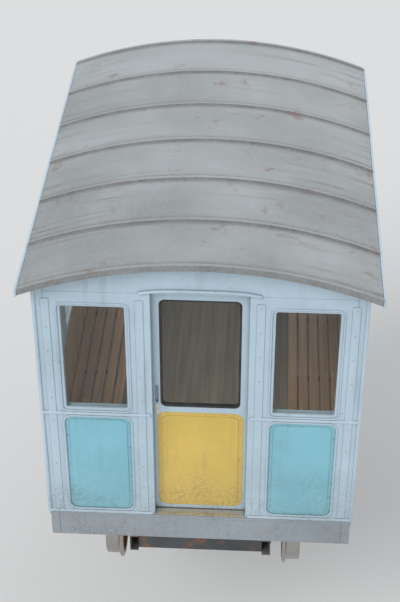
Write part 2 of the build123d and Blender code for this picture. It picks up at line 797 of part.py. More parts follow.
# Sliding doors: each leaf hangs inside its end wall and slides behind the bay beside it
leaf_width = door_opening + 2 * leaf_overlap
leaf_bottom = deck_top + leaf_floor_gap
leaf_top = door_head + leaf_overlap * 0.6
leaf_height = leaf_top - leaf_bottom
leaf_face = half_length - wall - leaf_gap
leaf_panel_width = door_opening - 2 * leaf_panel_edge
leaf_window_width = leaf_width - 2 * leaf_stile
pull_x = (leaf_window_width / 2 + door_opening / 2) / 2
track_bottom = leaf_top + track_lift
track_top = track_bottom + track_height
roller_z = track_top + roller_radius + roller_gap
track_y = leaf_face - leaf_thickness / 2
strap_bottom = leaf_top - strap_reach
for name, end in ends:
    slide = -end
    with BuildPart() as leaf:
        with BuildSketch(end_plane(end * leaf_face)):
            with Locations((0, (leaf_bottom + leaf_top) / 2)):
                Rectangle(leaf_width, leaf_height)
            with Locations((0, window_z)):
                leaf_window = (leaf_window_width, window_height)
                RectangleRounded(*leaf_window, window_corner, mode=Mode.SUBTRACT)
        extrude(amount=end * leaf_thickness)
        with BuildSketch(end_plane(end * leaf_face)):
            with Locations((0, panel_z)):
                RectangleRounded(leaf_panel_width, panel_height, panel_corner)
        extrude(amount=end * leaf_recess, mode=Mode.SUBTRACT)
        with BuildSketch(end_plane(end * leaf_face)):
            with Locations((-slide * pull_x, window_bottom + pull_lift)):
                SlotOverall(pull_length, pull_width, rotation=90)
        extrude(amount=end * pull_depth, mode=Mode.SUBTRACT)
    write(leaf, f"{name}_door")

    with BuildPart() as leaf_panel:
        recess_floor = end * (leaf_face - leaf_recess)
        with BuildSketch(end_plane(recess_floor)):
            with Locations((0, panel_z)):
                RectangleRounded(leaf_panel_width, panel_height, panel_corner)
        extrude(amount=-end * (panel_sheet - leaf_panel_thinning))
        with BuildSketch(end_plane(recess_floor + end * (panel_sheet - leaf_panel_thinning))):
            with Locations((0, panel_z)):
                field = (leaf_panel_width - 2 * panel_border, panel_height - 2 * panel_border)
                RectangleRounded(*field, panel_corner - panel_border / 2)
        extrude(amount=-end * (panel_field - leaf_panel_thinning))
    write(leaf_panel, f"{name}_door_panel")

    with BuildPart() as leaf_glass:
        with BuildSketch(end_plane(end * (leaf_face - leaf_thickness / 2))):
            with Locations((0, window_z)):
                RectangleRounded(leaf_window_width, window_height, window_corner)
        extrude(amount=glass_thickness / 2, both=True)
    write(leaf_glass, f"{name}_door_glass")

    # Hangers: a strap on the leaf's inner face, with a roller that runs on the track's edge
    strap_y = leaf_face - leaf_thickness
    with BuildPart() as hangers:
        with BuildSketch(end_plane(end * strap_y)):
            for x in (-hanger_offset, hanger_offset):
                with Locations((x, (strap_bottom + roller_z) / 2)):
                    Rectangle(strap_width, roller_z - strap_bottom)
                with Locations((x, roller_z)):
                    Circle(strap_width / 2)
        extrude(amount=end * strap_thickness)
        with BuildSketch(end_plane(end * strap_y)):
            with Locations((-hanger_offset, roller_z), (hanger_offset, roller_z)):
                Circle(roller_pin_radius)
        extrude(amount=-end * (track_y - strap_y))
        with BuildSketch(end_plane(end * track_y)):
            with Locations((-hanger_offset, roller_z), (hanger_offset, roller_z)):
                Circle(roller_radius)
        extrude(amount=roller_width / 2, both=True)
    write(hangers, f"{name}_door_hangers")

    # Track: a bar on edge, held off the gable by spacers, with a stop for the rollers at each end
    with BuildPart() as track:
        track_start = -leaf_width / 2
        track_end = inner_half
        track_length = track_end - track_start
        with BuildSketch(end_plane(end * track_y)):
            with Locations((slide * (track_start + track_end) / 2, (track_bottom + track_top) / 2)):
                Rectangle(track_length, track_height)
        extrude(amount=track_thickness / 2, both=True)
        spacer = half_length - wall - track_y
        with BuildSketch(end_plane(end * (half_length - wall))):
            spots = spread(track_spacers, track_length / 2 - track_spacer_inset)
            middle = (track_start + track_end) / 2
            with Locations(*[(slide * (middle + x), (track_bottom + track_top) / 2) for x in spots]):
                Circle(track_spacer_radius)
        extrude(amount=end * spacer)
        stop_reach = hanger_offset + roller_radius + stop_gap + stop_length / 2
        with BuildSketch(end_plane(end * track_y)):
            for x in (-stop_reach, door_travel + stop_reach):
                with Locations((slide * x, track_top - track_height / 2 + stop_height / 2)):
                    Rectangle(stop_length, track_height + stop_height)
        extrude(amount=roller_width / 2, both=True)
    write(track, f"{name}_door_track")

    # Inner handle: a bent bar on the leaf's stile, clear of the bay that the leaf slides past
    handle_x = -slide * (leaf_width / 2 - leaf_stile / 2)
    with BuildPart() as handle:
        grip = strap_y - handle_reach
        low = deck_top + handle_height - handle_length / 2
        high = low + handle_length
        with BuildLine(Plane.YZ.offset(handle_x)) as bend:
            FilletPolyline(
                (end * strap_y, low),
                (end * grip, low),
                (end * grip, high),
                (end * strap_y, high),
                radius=handle_bend,
            )
        with BuildSketch(Plane(origin=(handle_x, end * strap_y, low), z_dir=(0, -end, 0))):
            Circle(handle_radius)
        sweep(path=bend.line)
    write(handle, f"{name}_door_handle")

# Thresholds in the doorways, and blocks on the deck that keep the leaves from swinging in
with BuildPart() as door_thresholds:
    with BuildSketch(Plane.XY.offset(deck_top)):
        with Locations(*[(0, end * (half_length - wall / 2)) for name, end in ends]):
            Rectangle(door_opening, wall)
    extrude(amount=threshold_thickness)
write(door_thresholds, "door_thresholds")

with BuildPart() as door_guides:
    for name, end in ends:
        with BuildSketch(Plane.XY.offset(deck_top)):
            guide_y = end * (leaf_face - leaf_thickness - guide_gap - guide_width / 2)
            guide_xs = (-end * (door_opening / 2 + guide_door_gap), -end * (inner_half - guide_wall_gap))
            with Locations(*[(x, guide_y) for x in guide_xs]):
                Rectangle(guide_length, guide_width)
        extrude(amount=guide_height)
write(door_guides, "door_guides")

# Benches: slats along both side walls, on bent steel frames
bench_length = cabin_length - 2 * wall - 2 * bench_end_gap
bench_depth = slat_count * slat_width + (slat_count - 1) * slat_gap
slat_top = deck_top + seat_height
with BuildPart() as bench_slats:
    with BuildSketch(Plane.XY.offset(slat_top - slat_thickness)):
        for i in range(slat_count):
            with Locations((inner_half - slat_gap - slat_width / 2 - i * (slat_width + slat_gap), 0)):
                RectangleRounded(slat_width, bench_length, slat_corner)
    extrude(amount=slat_thickness)
    mirror(about=Plane.YZ)
write(bench_slats, "bench_slats")

with BuildPart() as bench_brackets:
    arm_top = slat_top - slat_thickness
    leg_x = inner_half - slat_gap - bench_depth + bench_leg_setback
    for y in spread(bench_frames, bench_length / 2 - bench_frame_inset):
        with BuildSketch(end_plane(y)):
            with BuildLine():
                Polyline(
                    (inner_half, arm_top),
                    (leg_x - bench_nose, arm_top),
                    (leg_x - bench_nose, arm_top - bench_leg),
                    (leg_x, arm_top - bench_leg - bench_haunch),
                    (leg_x, deck_top),
                    (leg_x + bench_leg, deck_top),
                    (leg_x + bench_leg, arm_top - bench_leg - bench_haunch),
                    (leg_x + bench_leg + bench_haunch, arm_top - bench_leg),
                    (inner_half, arm_top - bench_leg),
                    close=True,
                )
            make_face()
        extrude(amount=bench_plate / 2, both=True)
    mirror(about=Plane.YZ)
write(bench_brackets, "bench_brackets")

# Handrails above the windows, on brackets from the side walls
rail_x = inner_half - rail_wall_gap
rail_z = wall_top - rail_drop
rail_reach = bench_length / 2 - rail_end_gap
with BuildPart() as handrails:
    with BuildSketch(end_plane(0)):
        with Locations((rail_x, rail_z)):
            Circle(rail_radius)
    extrude(amount=rail_reach, both=True)
    with BuildSketch(Plane.YZ.offset(inner_half)):
        with Locations(*[(y, rail_z) for y in spread(rail_brackets, rail_reach - rail_bracket_inset)]):
            Circle(rail_bracket_radius)
    extrude(amount=-rail_wall_gap)
    mirror(about=Plane.YZ)
write(handrails, "handrails")
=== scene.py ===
"""Looks of a small funicular car: painted cabin, sheet roof and riveted truck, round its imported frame."""
import json
import logging
import math
from collections.abc import Sequence
from dataclasses import dataclass
from enum import Enum
from functools import reduce
from typing import NamedTuple

import bmesh
import bpy
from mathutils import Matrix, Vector

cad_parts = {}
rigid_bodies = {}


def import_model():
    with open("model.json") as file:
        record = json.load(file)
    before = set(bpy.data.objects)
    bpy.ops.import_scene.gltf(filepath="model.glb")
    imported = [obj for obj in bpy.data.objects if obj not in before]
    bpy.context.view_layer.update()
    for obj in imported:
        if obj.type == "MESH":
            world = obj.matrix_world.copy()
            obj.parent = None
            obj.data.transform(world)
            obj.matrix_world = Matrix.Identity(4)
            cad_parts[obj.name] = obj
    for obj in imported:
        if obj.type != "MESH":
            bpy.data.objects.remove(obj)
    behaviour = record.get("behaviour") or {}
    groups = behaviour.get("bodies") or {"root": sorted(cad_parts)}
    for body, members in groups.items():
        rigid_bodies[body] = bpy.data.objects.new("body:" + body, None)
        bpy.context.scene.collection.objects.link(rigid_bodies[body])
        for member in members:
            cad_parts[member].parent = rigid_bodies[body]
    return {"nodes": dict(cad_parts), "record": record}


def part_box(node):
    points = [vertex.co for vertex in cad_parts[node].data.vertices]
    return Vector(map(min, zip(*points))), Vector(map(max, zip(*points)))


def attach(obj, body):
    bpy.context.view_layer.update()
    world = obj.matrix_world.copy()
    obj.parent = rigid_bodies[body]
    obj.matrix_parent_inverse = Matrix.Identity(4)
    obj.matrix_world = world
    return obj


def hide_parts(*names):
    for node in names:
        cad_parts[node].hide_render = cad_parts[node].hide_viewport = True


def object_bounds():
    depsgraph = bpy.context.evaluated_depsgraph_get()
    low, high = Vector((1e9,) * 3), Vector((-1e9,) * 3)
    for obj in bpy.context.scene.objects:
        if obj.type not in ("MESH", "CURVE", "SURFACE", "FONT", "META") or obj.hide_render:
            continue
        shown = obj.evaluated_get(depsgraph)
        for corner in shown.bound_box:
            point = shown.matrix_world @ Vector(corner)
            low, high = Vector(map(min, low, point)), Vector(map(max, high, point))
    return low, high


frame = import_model()
CAD_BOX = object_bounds()
MILLIMETRE = 0.001
# CAD corners within this reach are one point. Faces that turn by less than this angle are one face.
MERGE_REACH = 0.01 * MILLIMETRE
FLAT_ANGLE = math.radians(0.6)
# Edges that turn by more than this are eased.
SHARP_ANGLE = math.radians(32)
# The roof's raised seams, as they are in the CAD part.
SEAMS = 7
SEAM_WIDTH = 0.026
SEAM_PITCH = (2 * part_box("roof")[1].y - SEAM_WIDTH) / (SEAMS - 1)
X_WAY = Vector((1, 0, 0))
UP = Vector((0, 0, 1))
BODY_OF = {node: body for body, nodes in frame["record"]["behaviour"]["bodies"].items() for node in nodes}
JOINTS = {joint["name"]: joint for joint in frame["record"]["behaviour"]["joints"]}
log = logging.getLogger("funicular_car")

Object = bpy.types.Object
Socket = bpy.types.NodeSocket
Triple = tuple[float, float, float]
Colour = Triple
Pair = tuple[float, float]
# A fastener's head, as its radius and height.
Stud = Pair


class Patches(NamedTuple):
    """Soft patches of noise: its scale and detail, where they fade in, and how far they cover."""

    scale: float
    detail: float
    low: float
    high: float
    share: float = 1.0
    stretch: Triple | None = None


class Relief(NamedTuple):
    """A raised texture: the scale and detail of its noise, its depth in metres and its stretch."""

    scale: float
    detail: float
    depth: float
    stretch: Triple | None = None


def toned(colour: Colour, factor: float, lift: float = 0.0) -> Colour:
    """A colour made deeper or paler."""
    return tuple(min(1.0, c * factor + lift) for c in colour)


def opaque(value: object) -> object:
    """A colour with its alpha, or any other value as it is."""
    return (*value, 1.0) if isinstance(value, tuple) else value


class Wiring:
    """Adds nodes to one tree and joins them."""

    def __init__(self, tree: bpy.types.NodeTree) -> None:
        """Takes the tree that the nodes go into."""
        self.tree = tree

    def node(self, kind: str, inputs: dict | None = None, **settings: object) -> bpy.types.Node:
        """Adds one node.

        Args:
            kind: The node's type name.
            inputs: Values or output sockets for its inputs, by name or index.
            settings: Properties to set on it before its inputs.

        Returns:
            The new node.
        """
        node = self.tree.nodes.new(kind)
        for key, value in settings.items():
            setattr(node, key, value)
        for key, value in (inputs or {}).items():
            if isinstance(value, Socket):
                self.tree.links.new(value, node.inputs[key])
            else:
                node.inputs[key].default_value = value
        return node

    def first(self, kind: str, inputs: dict | None = None, **settings: object) -> Socket:
        """The first output of a new node."""
        return self.node(kind, inputs, **settings).outputs[0]

    def math(self, operation: str, *values: object, clamp: bool = False) -> Socket:
        """One sum on numbers or sockets."""
        return self.first("ShaderNodeMath", dict(enumerate(values)), operation=operation, use_clamp=clamp)

    def times(self, *values: object) -> Socket:
        """The product of numbers or sockets."""
        return reduce(lambda product, value: self.math("MULTIPLY", product, value), values)

    def most(self, one: Socket, other: Socket) -> Socket:
        """The greater of two values."""
        return self.math("MAXIMUM", one, other)

    def sloped(self, value: Socket, slope: float, start: object, clamp: bool = False) -> Socket:
        """A value times a slope, on top of a start."""
        return self.math("MULTIPLY_ADD", value, slope, start, clamp=clamp)


class Palette(Wiring):
    """Shader nodes for one finish, all placed by Object coordinates."""

    noise_roughness: float = 0.58
    samples: int = 6
    open_shade: Pair = (0.85, 0.3)
    edge_turn: Pair = (0.985, 0.86)
    upward_lean: Pair = (0.5, 0.95)
    wear_roughness: float = 0.35

    def __init__(self, material: bpy.types.Material) -> None:
        """Takes the material to fill in."""
        super().__init__(material.node_tree)
        self.place = self.node("ShaderNodeTexCoord").outputs["Object"]

    def parts(self, vector: Socket | None = None) -> dict[str, Socket]:
        """X, Y and Z of a vector, or of the place."""
        return dict(zip("XYZ", self.node("ShaderNodeSeparateXYZ", {0: vector or self.place}).outputs))

    def normal(self) -> Socket:
        """The way that the surface faces."""
        return self.node("ShaderNodeNewGeometry").outputs["Normal"]

    def noise(self, scale: float, detail: float, stretch: Triple | None = None) -> Socket:
        """Soft noise from 0 to 1.

        Args:
            scale: Its scale per metre.
            detail: How many finer layers it has.
            stretch: A scale along each axis, where it isn't even.

        Returns:
            The noise.
        """
        place = self.place
        if stretch:
            place = self.first("ShaderNodeMapping", {"Vector": place, "Scale": stretch})
        inputs = {"Vector": place, "Scale": scale, "Detail": detail, "Roughness": self.noise_roughness}
        return self.node("ShaderNodeTexNoise", inputs).outputs["Fac"]

    def window(self, value: Socket, low: float, high: float) -> Socket:
        """A smooth step from 0 at low to 1 at high, or down again where high is the lesser."""
        inputs = {"Value": value, "From Min": low, "From Max": high}
        return self.first("ShaderNodeMapRange", inputs, interpolation_type="SMOOTHSTEP")

    def patches(self, kind: Patches) -> Socket:
        """Soft patches, from 0 to their share."""
        value = self.window(self.noise(kind.scale, kind.detail, kind.stretch), kind.low, kind.high)
        return value if kind.share == 1.0 else self.times(value, kind.share)

    def chance(self, number: Socket) -> Socket:
        """A fixed random value from 0 to 1 for each number."""
        return self.node("ShaderNodeTexWhiteNoise", {"W": number}, noise_dimensions="1D").outputs["Value"]

    def mix(self, share: object, under: object, over: object) -> Socket:
        """A colour between two others, which are colours or sockets."""
        inputs = {0: share, 6: opaque(under), 7: opaque(over)}
        return self.node("ShaderNodeMix", inputs, data_type="RGBA").outputs[2]

    def bump(self, height: Socket, depth: float, under: Socket | None = None) -> Socket:
        """A normal from a height and its depth in metres, laid over another normal."""
        inputs = {"Height": height, "Distance": depth, "Strength": 1.0}
        return self.first("ShaderNodeBump", inputs if under is None else {**inputs, "Normal": under})

    def relief(self, kind: Relief, under: Socket | None = None) -> Socket:
        """A normal from a raised texture, laid over another normal."""
        return self.bump(self.noise(kind.scale, kind.detail, kind.stretch), kind.depth, under)

    def crevices(self, reach: float) -> Socket:
        """1 deep in corners and 0 on open faces, from ambient occlusion: it paints shade into corners, and
        places dust and rust that gather there.
        """
        shade = self.node("ShaderNodeAmbientOcclusion", {"Distance": reach}, samples=self.samples)
        return self.window(shade.outputs["AO"], *self.open_shade)

    def edges(self, radius: float) -> Socket:
        """Finds edges, for wear.

        Args:
            radius: How far from an edge it shows.

        Returns:
            1 on sharp outer and inner edges and 0 on flat faces.
        """
        soft = self.first("ShaderNodeBevel", {"Radius": radius}, samples=self.samples)
        turn = self.node("ShaderNodeVectorMath", {0: soft, 1: self.normal()}, operation="DOT_PRODUCT")
        return self.window(turn.outputs["Value"], *self.edge_turn)

    def upward(self) -> Socket:
        """1 on faces that look up, where dust settles."""
        return self.window(self.parts(self.normal())["Z"], *self.upward_lean)

    def dulled(self, rough: Socket, worn: Socket) -> Socket:
        """A roughness raised where the surface is worn or dirty."""
        return self.math("ADD", rough, self.times(worn, self.wear_roughness), clamp=True)

    def shader(self, **values: object) -> Socket:
        """A Principled shader. Underscores in its inputs' names stand for spaces."""
        inputs = {key.replace("_", " "): opaque(value) for key, value in values.items()}
        return self.first("ShaderNodeBsdfPrincipled", inputs)

    def end(self, shader: Socket) -> None:
        """Wires the closing shader to the output."""
        self.node("ShaderNodeOutputMaterial", {"Surface": shader})


@dataclass(frozen=True)
class Finish:
    """One finish of the car: a named procedural material and the record's slot that it belongs to."""

    name: str
    slot: str

    def material(self) -> bpy.types.Material:
        """Makes the material at its first use.

        Returns:
            The material.
        """
        if self not in MADE:
            MADE[self] = bpy.data.materials.new(self.name)
            MADE[self].use_nodes = True
            MADE[self].node_tree.nodes.clear()
            self.shade(Palette(MADE[self]))
        return MADE[self]

    def shade(self, palette: Palette) -> None:
        """Fills in the material's nodes. Each kind of finish has its own."""
        raise NotImplementedError


MADE: dict[Finish, bpy.types.Material] = {}


@dataclass(frozen=True)
class Paint(Finish):
    """Brushed gloss paint, faded and streaked by rain, chipped at its edges, soiled low down, and darkened in
    its corners as painted shade.
    """

    colour: Colour
    gloss: float = 0.34
    streaking: float = 0.5
    foot: float = 1.5
    grime_reach: float = 0.75
    gloss_swing: float = 0.16
    gloss_noise: Pair = (4.0, 4.0)
    edge_radius: float = 0.004
    corner_reach: float = 0.045
    deep: float = 0.84
    pale: Pair = (1.1, 0.035)
    splash_cover: Pair = (0.7, 0.15)
    low_share: float = 0.75
    corner_share: float = 0.6
    coat: Pair = (0.25, 0.18)
    under: Colour = (0.2, 0.13, 0.09)
    grime_and_shade: Colour = (0.15, 0.13, 0.105)
    fading: Patches = Patches(1.1, 3.0, 0.1, 0.9)
    mottle: Patches = Patches(30.0, 6.0, 0.42, 0.78, 0.28)
    streaks: Patches = Patches(1.0, 5.0, 0.5, 0.78, 0.55, (19.0, 19.0, 0.8))
    breaks: Patches = Patches(2.3, 3.0, 0.35, 0.65)
    splashes: Patches = Patches(4.0, 3.0, 0.2, 0.8)
    spatter: Patches = Patches(48.0, 6.0, 0.34, 0.7)
    specks: Patches = Patches(38.0, 5.0, 0.66, 0.69)
    spots: Patches = Patches(3.1, 2.0, 0.5, 0.68)
    rubbing: Patches = Patches(15.0, 5.0, 0.46, 0.58)
    ripple: Relief = Relief(2.6, 2.0, 0.004)
    brush: Relief = Relief(1.0, 3.0, 0.00025, (170.0, 170.0, 26.0))
    chip_depth: float = 0.0004

    def shade(self, palette: Palette) -> None:
        """Fills in the material's nodes.

        Args:
            palette: What makes them.
        """
        pale = toned(self.colour, *self.pale)
        body = palette.mix(palette.patches(self.fading), toned(self.colour, self.deep), pale)
        body = palette.mix(palette.patches(self.mottle), body, pale)
        streaks = palette.times(palette.patches(self.streaks), palette.patches(self.breaks), self.streaking)
        body = palette.mix(streaks, body, self.grime_and_shade)
        low = palette.window(palette.parts()["Z"], self.foot + self.grime_reach, self.foot)
        splash = palette.times(palette.patches(self.splashes), palette.patches(self.spatter))
        low = palette.times(low, palette.sloped(splash, *self.splash_cover), self.low_share)
        # Painted shade: corners that ambient occlusion finds are darkened with the same colour as the real
        # soiling low down.
        dirt_and_corner_shade = palette.most(low, palette.times(palette.crevices(self.corner_reach), self.corner_share))
        body = palette.mix(dirt_and_corner_shade, body, self.grime_and_shade)
        chips = palette.times(palette.patches(self.specks), palette.patches(self.spots))
        rubbed = palette.times(palette.edges(self.edge_radius), palette.patches(self.rubbing))
        chips = palette.most(chips, rubbed)
        colour = palette.mix(chips, body, self.under)
        least = self.gloss - self.gloss_swing / 2
        rough = palette.sloped(palette.noise(*self.gloss_noise), self.gloss_swing, least)
        rough = palette.dulled(rough, palette.most(dirt_and_corner_shade, chips))
        brush = palette.relief(self.brush, palette.relief(self.ripple))
        normal = palette.bump(palette.math("SUBTRACT", 1.0, chips), self.chip_depth, brush)
        coat = dict(zip(("Coat_Weight", "Coat_Roughness"), self.coat))
        palette.end(palette.shader(Base_Color=colour, Roughness=rough, Normal=normal, **coat))


@dataclass(frozen=True)
class SheetRoof(Finish):
    """Painted roofing sheets, each of its own tone, with soiling that runs down the arch, rusty seams and
    painted shade in the corners.
    """

    colour: Colour
    rust: Colour = (0.23, 0.11, 0.06)
    grime_and_shade: Colour = (0.13, 0.125, 0.115)
    fading: Patches = Patches(1.3, 7.0, 0.15, 0.9)
    runs: Patches = Patches(1.0, 6.0, 0.5, 0.75, 1.0, (0.9, 17.0, 0.9))
    breaks: Patches = Patches(2.6, 4.0, 0.38, 0.62)
    chalk: Patches = Patches(45.0, 6.0, 0.4, 0.75, 0.25)
    blots: Patches = Patches(5.5, 7.0, 0.6, 0.72, 0.5)
    pitting: Patches = Patches(22.0, 5.0, 0.35, 0.6)
    dents: Relief = Relief(2.1, 2.0, 0.005)
    skin: Relief = Relief(60.0, 5.0, 0.0006)
    deep: float = 0.72
    pale: Pair = (1.25, 0.03)
    sheet_share: float = 0.45
    fall: Pair = (0.1, 1.1)
    fall_cover: Pair = (0.6, 0.25)
    corner_reach: float = 0.05
    corner: Pair = (0.15, 0.8)
    shade_and_rust_shares: Pair = (0.6, 0.65)
    roughness: Pair = (0.25, 0.42)
    metal: float = 0.15
    gloss_noise: Pair = (7.0, 5.0)
    lodging: Pair = (0.9, 0.1)
    lodging_noise: Pair = (9.0, 5.0)
    seam_side: float = 0.014
    seam_top: float = 0.008
    dirt_reach: float = 0.07

    def shade(self, palette: Palette) -> None:
        """Fills in the material's nodes.

        Args:
            palette: What makes them.
        """
        pale = toned(self.colour, *self.pale)
        body = palette.mix(palette.patches(self.fading), toned(self.colour, self.deep), pale)
        place = palette.parts()
        along = palette.math("DIVIDE", place["Y"], SEAM_PITCH)
        tone = palette.chance(palette.math("FLOOR", along))
        body = palette.mix(palette.times(tone, self.sheet_share), body, pale)
        low = palette.window(palette.math("ABSOLUTE", place["X"]), *self.fall)
        cover = palette.sloped(low, *self.fall_cover)
        runs = palette.times(palette.patches(self.runs), palette.patches(self.breaks), cover)
        body = palette.mix(runs, body, self.grime_and_shade)
        aside = palette.math("ABSOLUTE", palette.math("SUBTRACT", along, palette.math("ROUND", along)))
        aside = palette.times(aside, SEAM_PITCH)
        lodged = palette.window(aside, self.dirt_reach, self.seam_side)
        lodged = palette.times(lodged, palette.window(aside, self.seam_top, self.seam_side))
        lodged = palette.times(lodged, palette.sloped(palette.noise(*self.lodging_noise), *self.lodging))
        body = palette.mix(lodged, body, self.grime_and_shade)
        body = palette.mix(palette.patches(self.chalk), body, pale)
        # Painted shade: corners that ambient occlusion finds are darkened towards the soiling colour; the
        # same mask also lays rust in the hollows.
        near = palette.window(palette.crevices(self.corner_reach), *self.corner)
        corner_shade, rusty = (palette.times(near, share) for share in self.shade_and_rust_shares)
        body = palette.mix(corner_shade, body, self.grime_and_shade)
        rust = palette.times(palette.most(palette.patches(self.blots), rusty), palette.patches(self.pitting))
        colour = palette.mix(rust, body, self.rust)
        rough = palette.sloped(palette.noise(*self.gloss_noise), *self.roughness, clamp=True)
        normal = palette.relief(self.skin, palette.relief(self.dents))
        palette.end(palette.shader(Base_Color=colour, Roughness=rough, Normal=normal, Metallic=self.metal))


@dataclass(frozen=True)
class GreasySteel(Finish):
    """Old dark paint on rolled steel, with rust, oil and settled dust."""

    colour: Colour
    rusting: float = 0.55
    rust_spread: float = 0.16
    edge_radius: float = 0.004
    corner_reach: float = 0.04
    corner_share: float = 0.35
    deep: float = 0.6
    fresh: float = 1.9
    tint_noise: Pair = (30.0, 4.0)
    rust_share: float = 0.85
    roughness: Pair = (-0.24, 0.55)
    metal: float = 0.25
    rust: Colour = (0.2, 0.085, 0.04)
    dust: Colour = (0.22, 0.19, 0.16)
    fading: Patches = Patches(3.0, 5.0, 0.3, 0.7)
    rusty: Patches = Patches(6.5, 8.0, 0.6, 0.7)
    specks: Patches = Patches(55.0, 5.0, 0.3, 0.62)
    rubbing: Patches = Patches(12.0, 4.0, 0.4, 0.6)
    settled: Patches = Patches(14.0, 5.0, 0.25, 0.7, 0.7)
    oil: Patches = Patches(4.0, 3.0, 0.5, 0.62)
    scale: Relief = Relief(90.0, 6.0, 0.0006)
    rust_depth: float = 0.0007

    def shade(self, palette: Palette) -> None:
        """Fills in the material's nodes.

        Args:
            palette: What makes them.
        """
        body = palette.mix(palette.patches(self.fading), toned(self.colour, self.deep), self.colour)
        rusty = self.rusty._replace(low=self.rusty.low - self.rust_spread * self.rusting)
        rust = palette.times(palette.patches(rusty), palette.patches(self.specks))
        rubbed = palette.times(palette.edges(self.edge_radius), palette.patches(self.rubbing))
        rust = palette.most(rust, rubbed)
        tint = palette.mix(palette.noise(*self.tint_noise), self.rust, toned(self.rust, self.fresh))
        body = palette.mix(palette.times(rust, self.rust_share), body, tint)
        settled = palette.times(palette.upward(), palette.patches(self.settled))
        settled = palette.most(settled, palette.times(palette.crevices(self.corner_reach), self.corner_share))
        colour = palette.mix(settled, body, self.dust)
        rough = palette.sloped(palette.patches(self.oil), *self.roughness)
        rough = palette.dulled(rough, palette.most(rust, settled))
        normal = palette.bump(rust, self.rust_depth, palette.relief(self.scale))
        palette.end(palette.shader(Base_Color=colour, Roughness=rough, Normal=normal, Metallic=self.metal))


@dataclass(frozen=True)
class WheelIron(Finish):
    """Cast wheel: rusty body, a tread and flange ground bright by the rail, and a greasy hub."""

    centre: tuple[float, float]
    tread: float
    hub: float
    tread_fade: Pair = (0.009, 0.003)
    hub_fade: Pair = (0.035, 0.01)
    grease_share: float = 0.9
    roughness: Triple = (0.72, -0.42, -0.3)
    metal: Pair = (0.6, 0.35)
    iron: Colour = (0.1, 0.07, 0.055)
    rust: Colour = (0.27, 0.12, 0.06)
    bright: Colour = (0.4, 0.385, 0.365)
    grease: Colour = (0.025, 0.022, 0.02)
    rusty: Patches = Patches(8.0, 7.0, 0.36, 0.66)
    polish: Patches = Patches(26.0, 4.0, 0.2, 0.42)
    smears: Patches = Patches(16.0, 5.0, 0.3, 0.55)
    cast: Relief = Relief(120.0, 5.0, 0.0007)

    def shade(self, palette: Palette) -> None:
        """Fills in the material's nodes.

        Args:
            palette: What makes them.
        """
        place = palette.parts()
        offsets = [palette.math("SUBTRACT", place[axis], at) for axis, at in zip("YZ", self.centre)]
        squares = [palette.times(offset, offset) for offset in offsets]
        radius = palette.math("SQRT", palette.math("ADD", *squares))
        body = palette.mix(palette.patches(self.rusty), self.iron, self.rust)
        polished = palette.window(radius, *(self.tread - fade for fade in self.tread_fade))
        polished = palette.times(polished, palette.patches(self.polish))
        colour = palette.mix(polished, body, self.bright)
        greasy = palette.window(radius, self.hub + self.hub_fade[0], self.hub - self.hub_fade[1])
        greasy = palette.times(greasy, palette.patches(self.smears))
        colour = palette.mix(palette.times(greasy, self.grease_share), colour, self.grease)
        rough, ground, oiled = self.roughness
        rough = palette.sloped(greasy, oiled, palette.sloped(polished, ground, rough), clamp=True)
        metal = palette.sloped(polished, *self.metal)
        normal = palette.relief(self.cast)
        palette.end(palette.shader(Base_Color=colour, Roughness=rough, Metallic=metal, Normal=normal))


@dataclass(frozen=True)
class BareMetal(Finish):
    """Bare metal, turned or rubbed bright by hands and feet, with fine scratches, smudges and painted shade
    in its corners.
    """

    colour: Colour
    rough: float
    stained: float = 0.4
    corner_reach: float = 0.02
    corner_share: float = 0.7
    swing: float = 0.18
    metal: float = 0.9
    stain_and_shade: Colour = (0.09, 0.07, 0.05)
    blots: Patches = Patches(13.0, 6.0, 0.5, 0.7)
    scratch: Triple = (260.0, 16.0, 260.0)
    scratch_detail: float = 3.0
    scratch_depth: float = 0.00003

    def shade(self, palette: Palette) -> None:
        """Fills in the material's nodes.

        Args:
            palette: What makes them.
        """
        lines = palette.noise(1.0, self.scratch_detail, self.scratch)
        # Painted shade: corners that ambient occlusion finds are darkened with the smudge colour, on top of
        # the real smudges.
        corner = palette.times(palette.crevices(self.corner_reach), self.corner_share)
        dirt_and_corner_shade = palette.most(palette.times(palette.patches(self.blots), self.stained), corner)
        colour = palette.mix(dirt_and_corner_shade, self.colour, self.stain_and_shade)
        rough = palette.dulled(palette.sloped(lines, self.swing, self.rough - self.swing / 3), dirt_and_corner_shade)
        normal = palette.bump(lines, self.scratch_depth)
        palette.end(palette.shader(Base_Color=colour, Roughness=rough, Metallic=self.metal, Normal=normal))


class Grain(Enum):
    """Which way the boards run: the coordinate scale along and across the grain."""

    ALONG_Y = (30.0, 1.1, 30.0)
    ALONG_Z = (30.0, 30.0, 1.1)


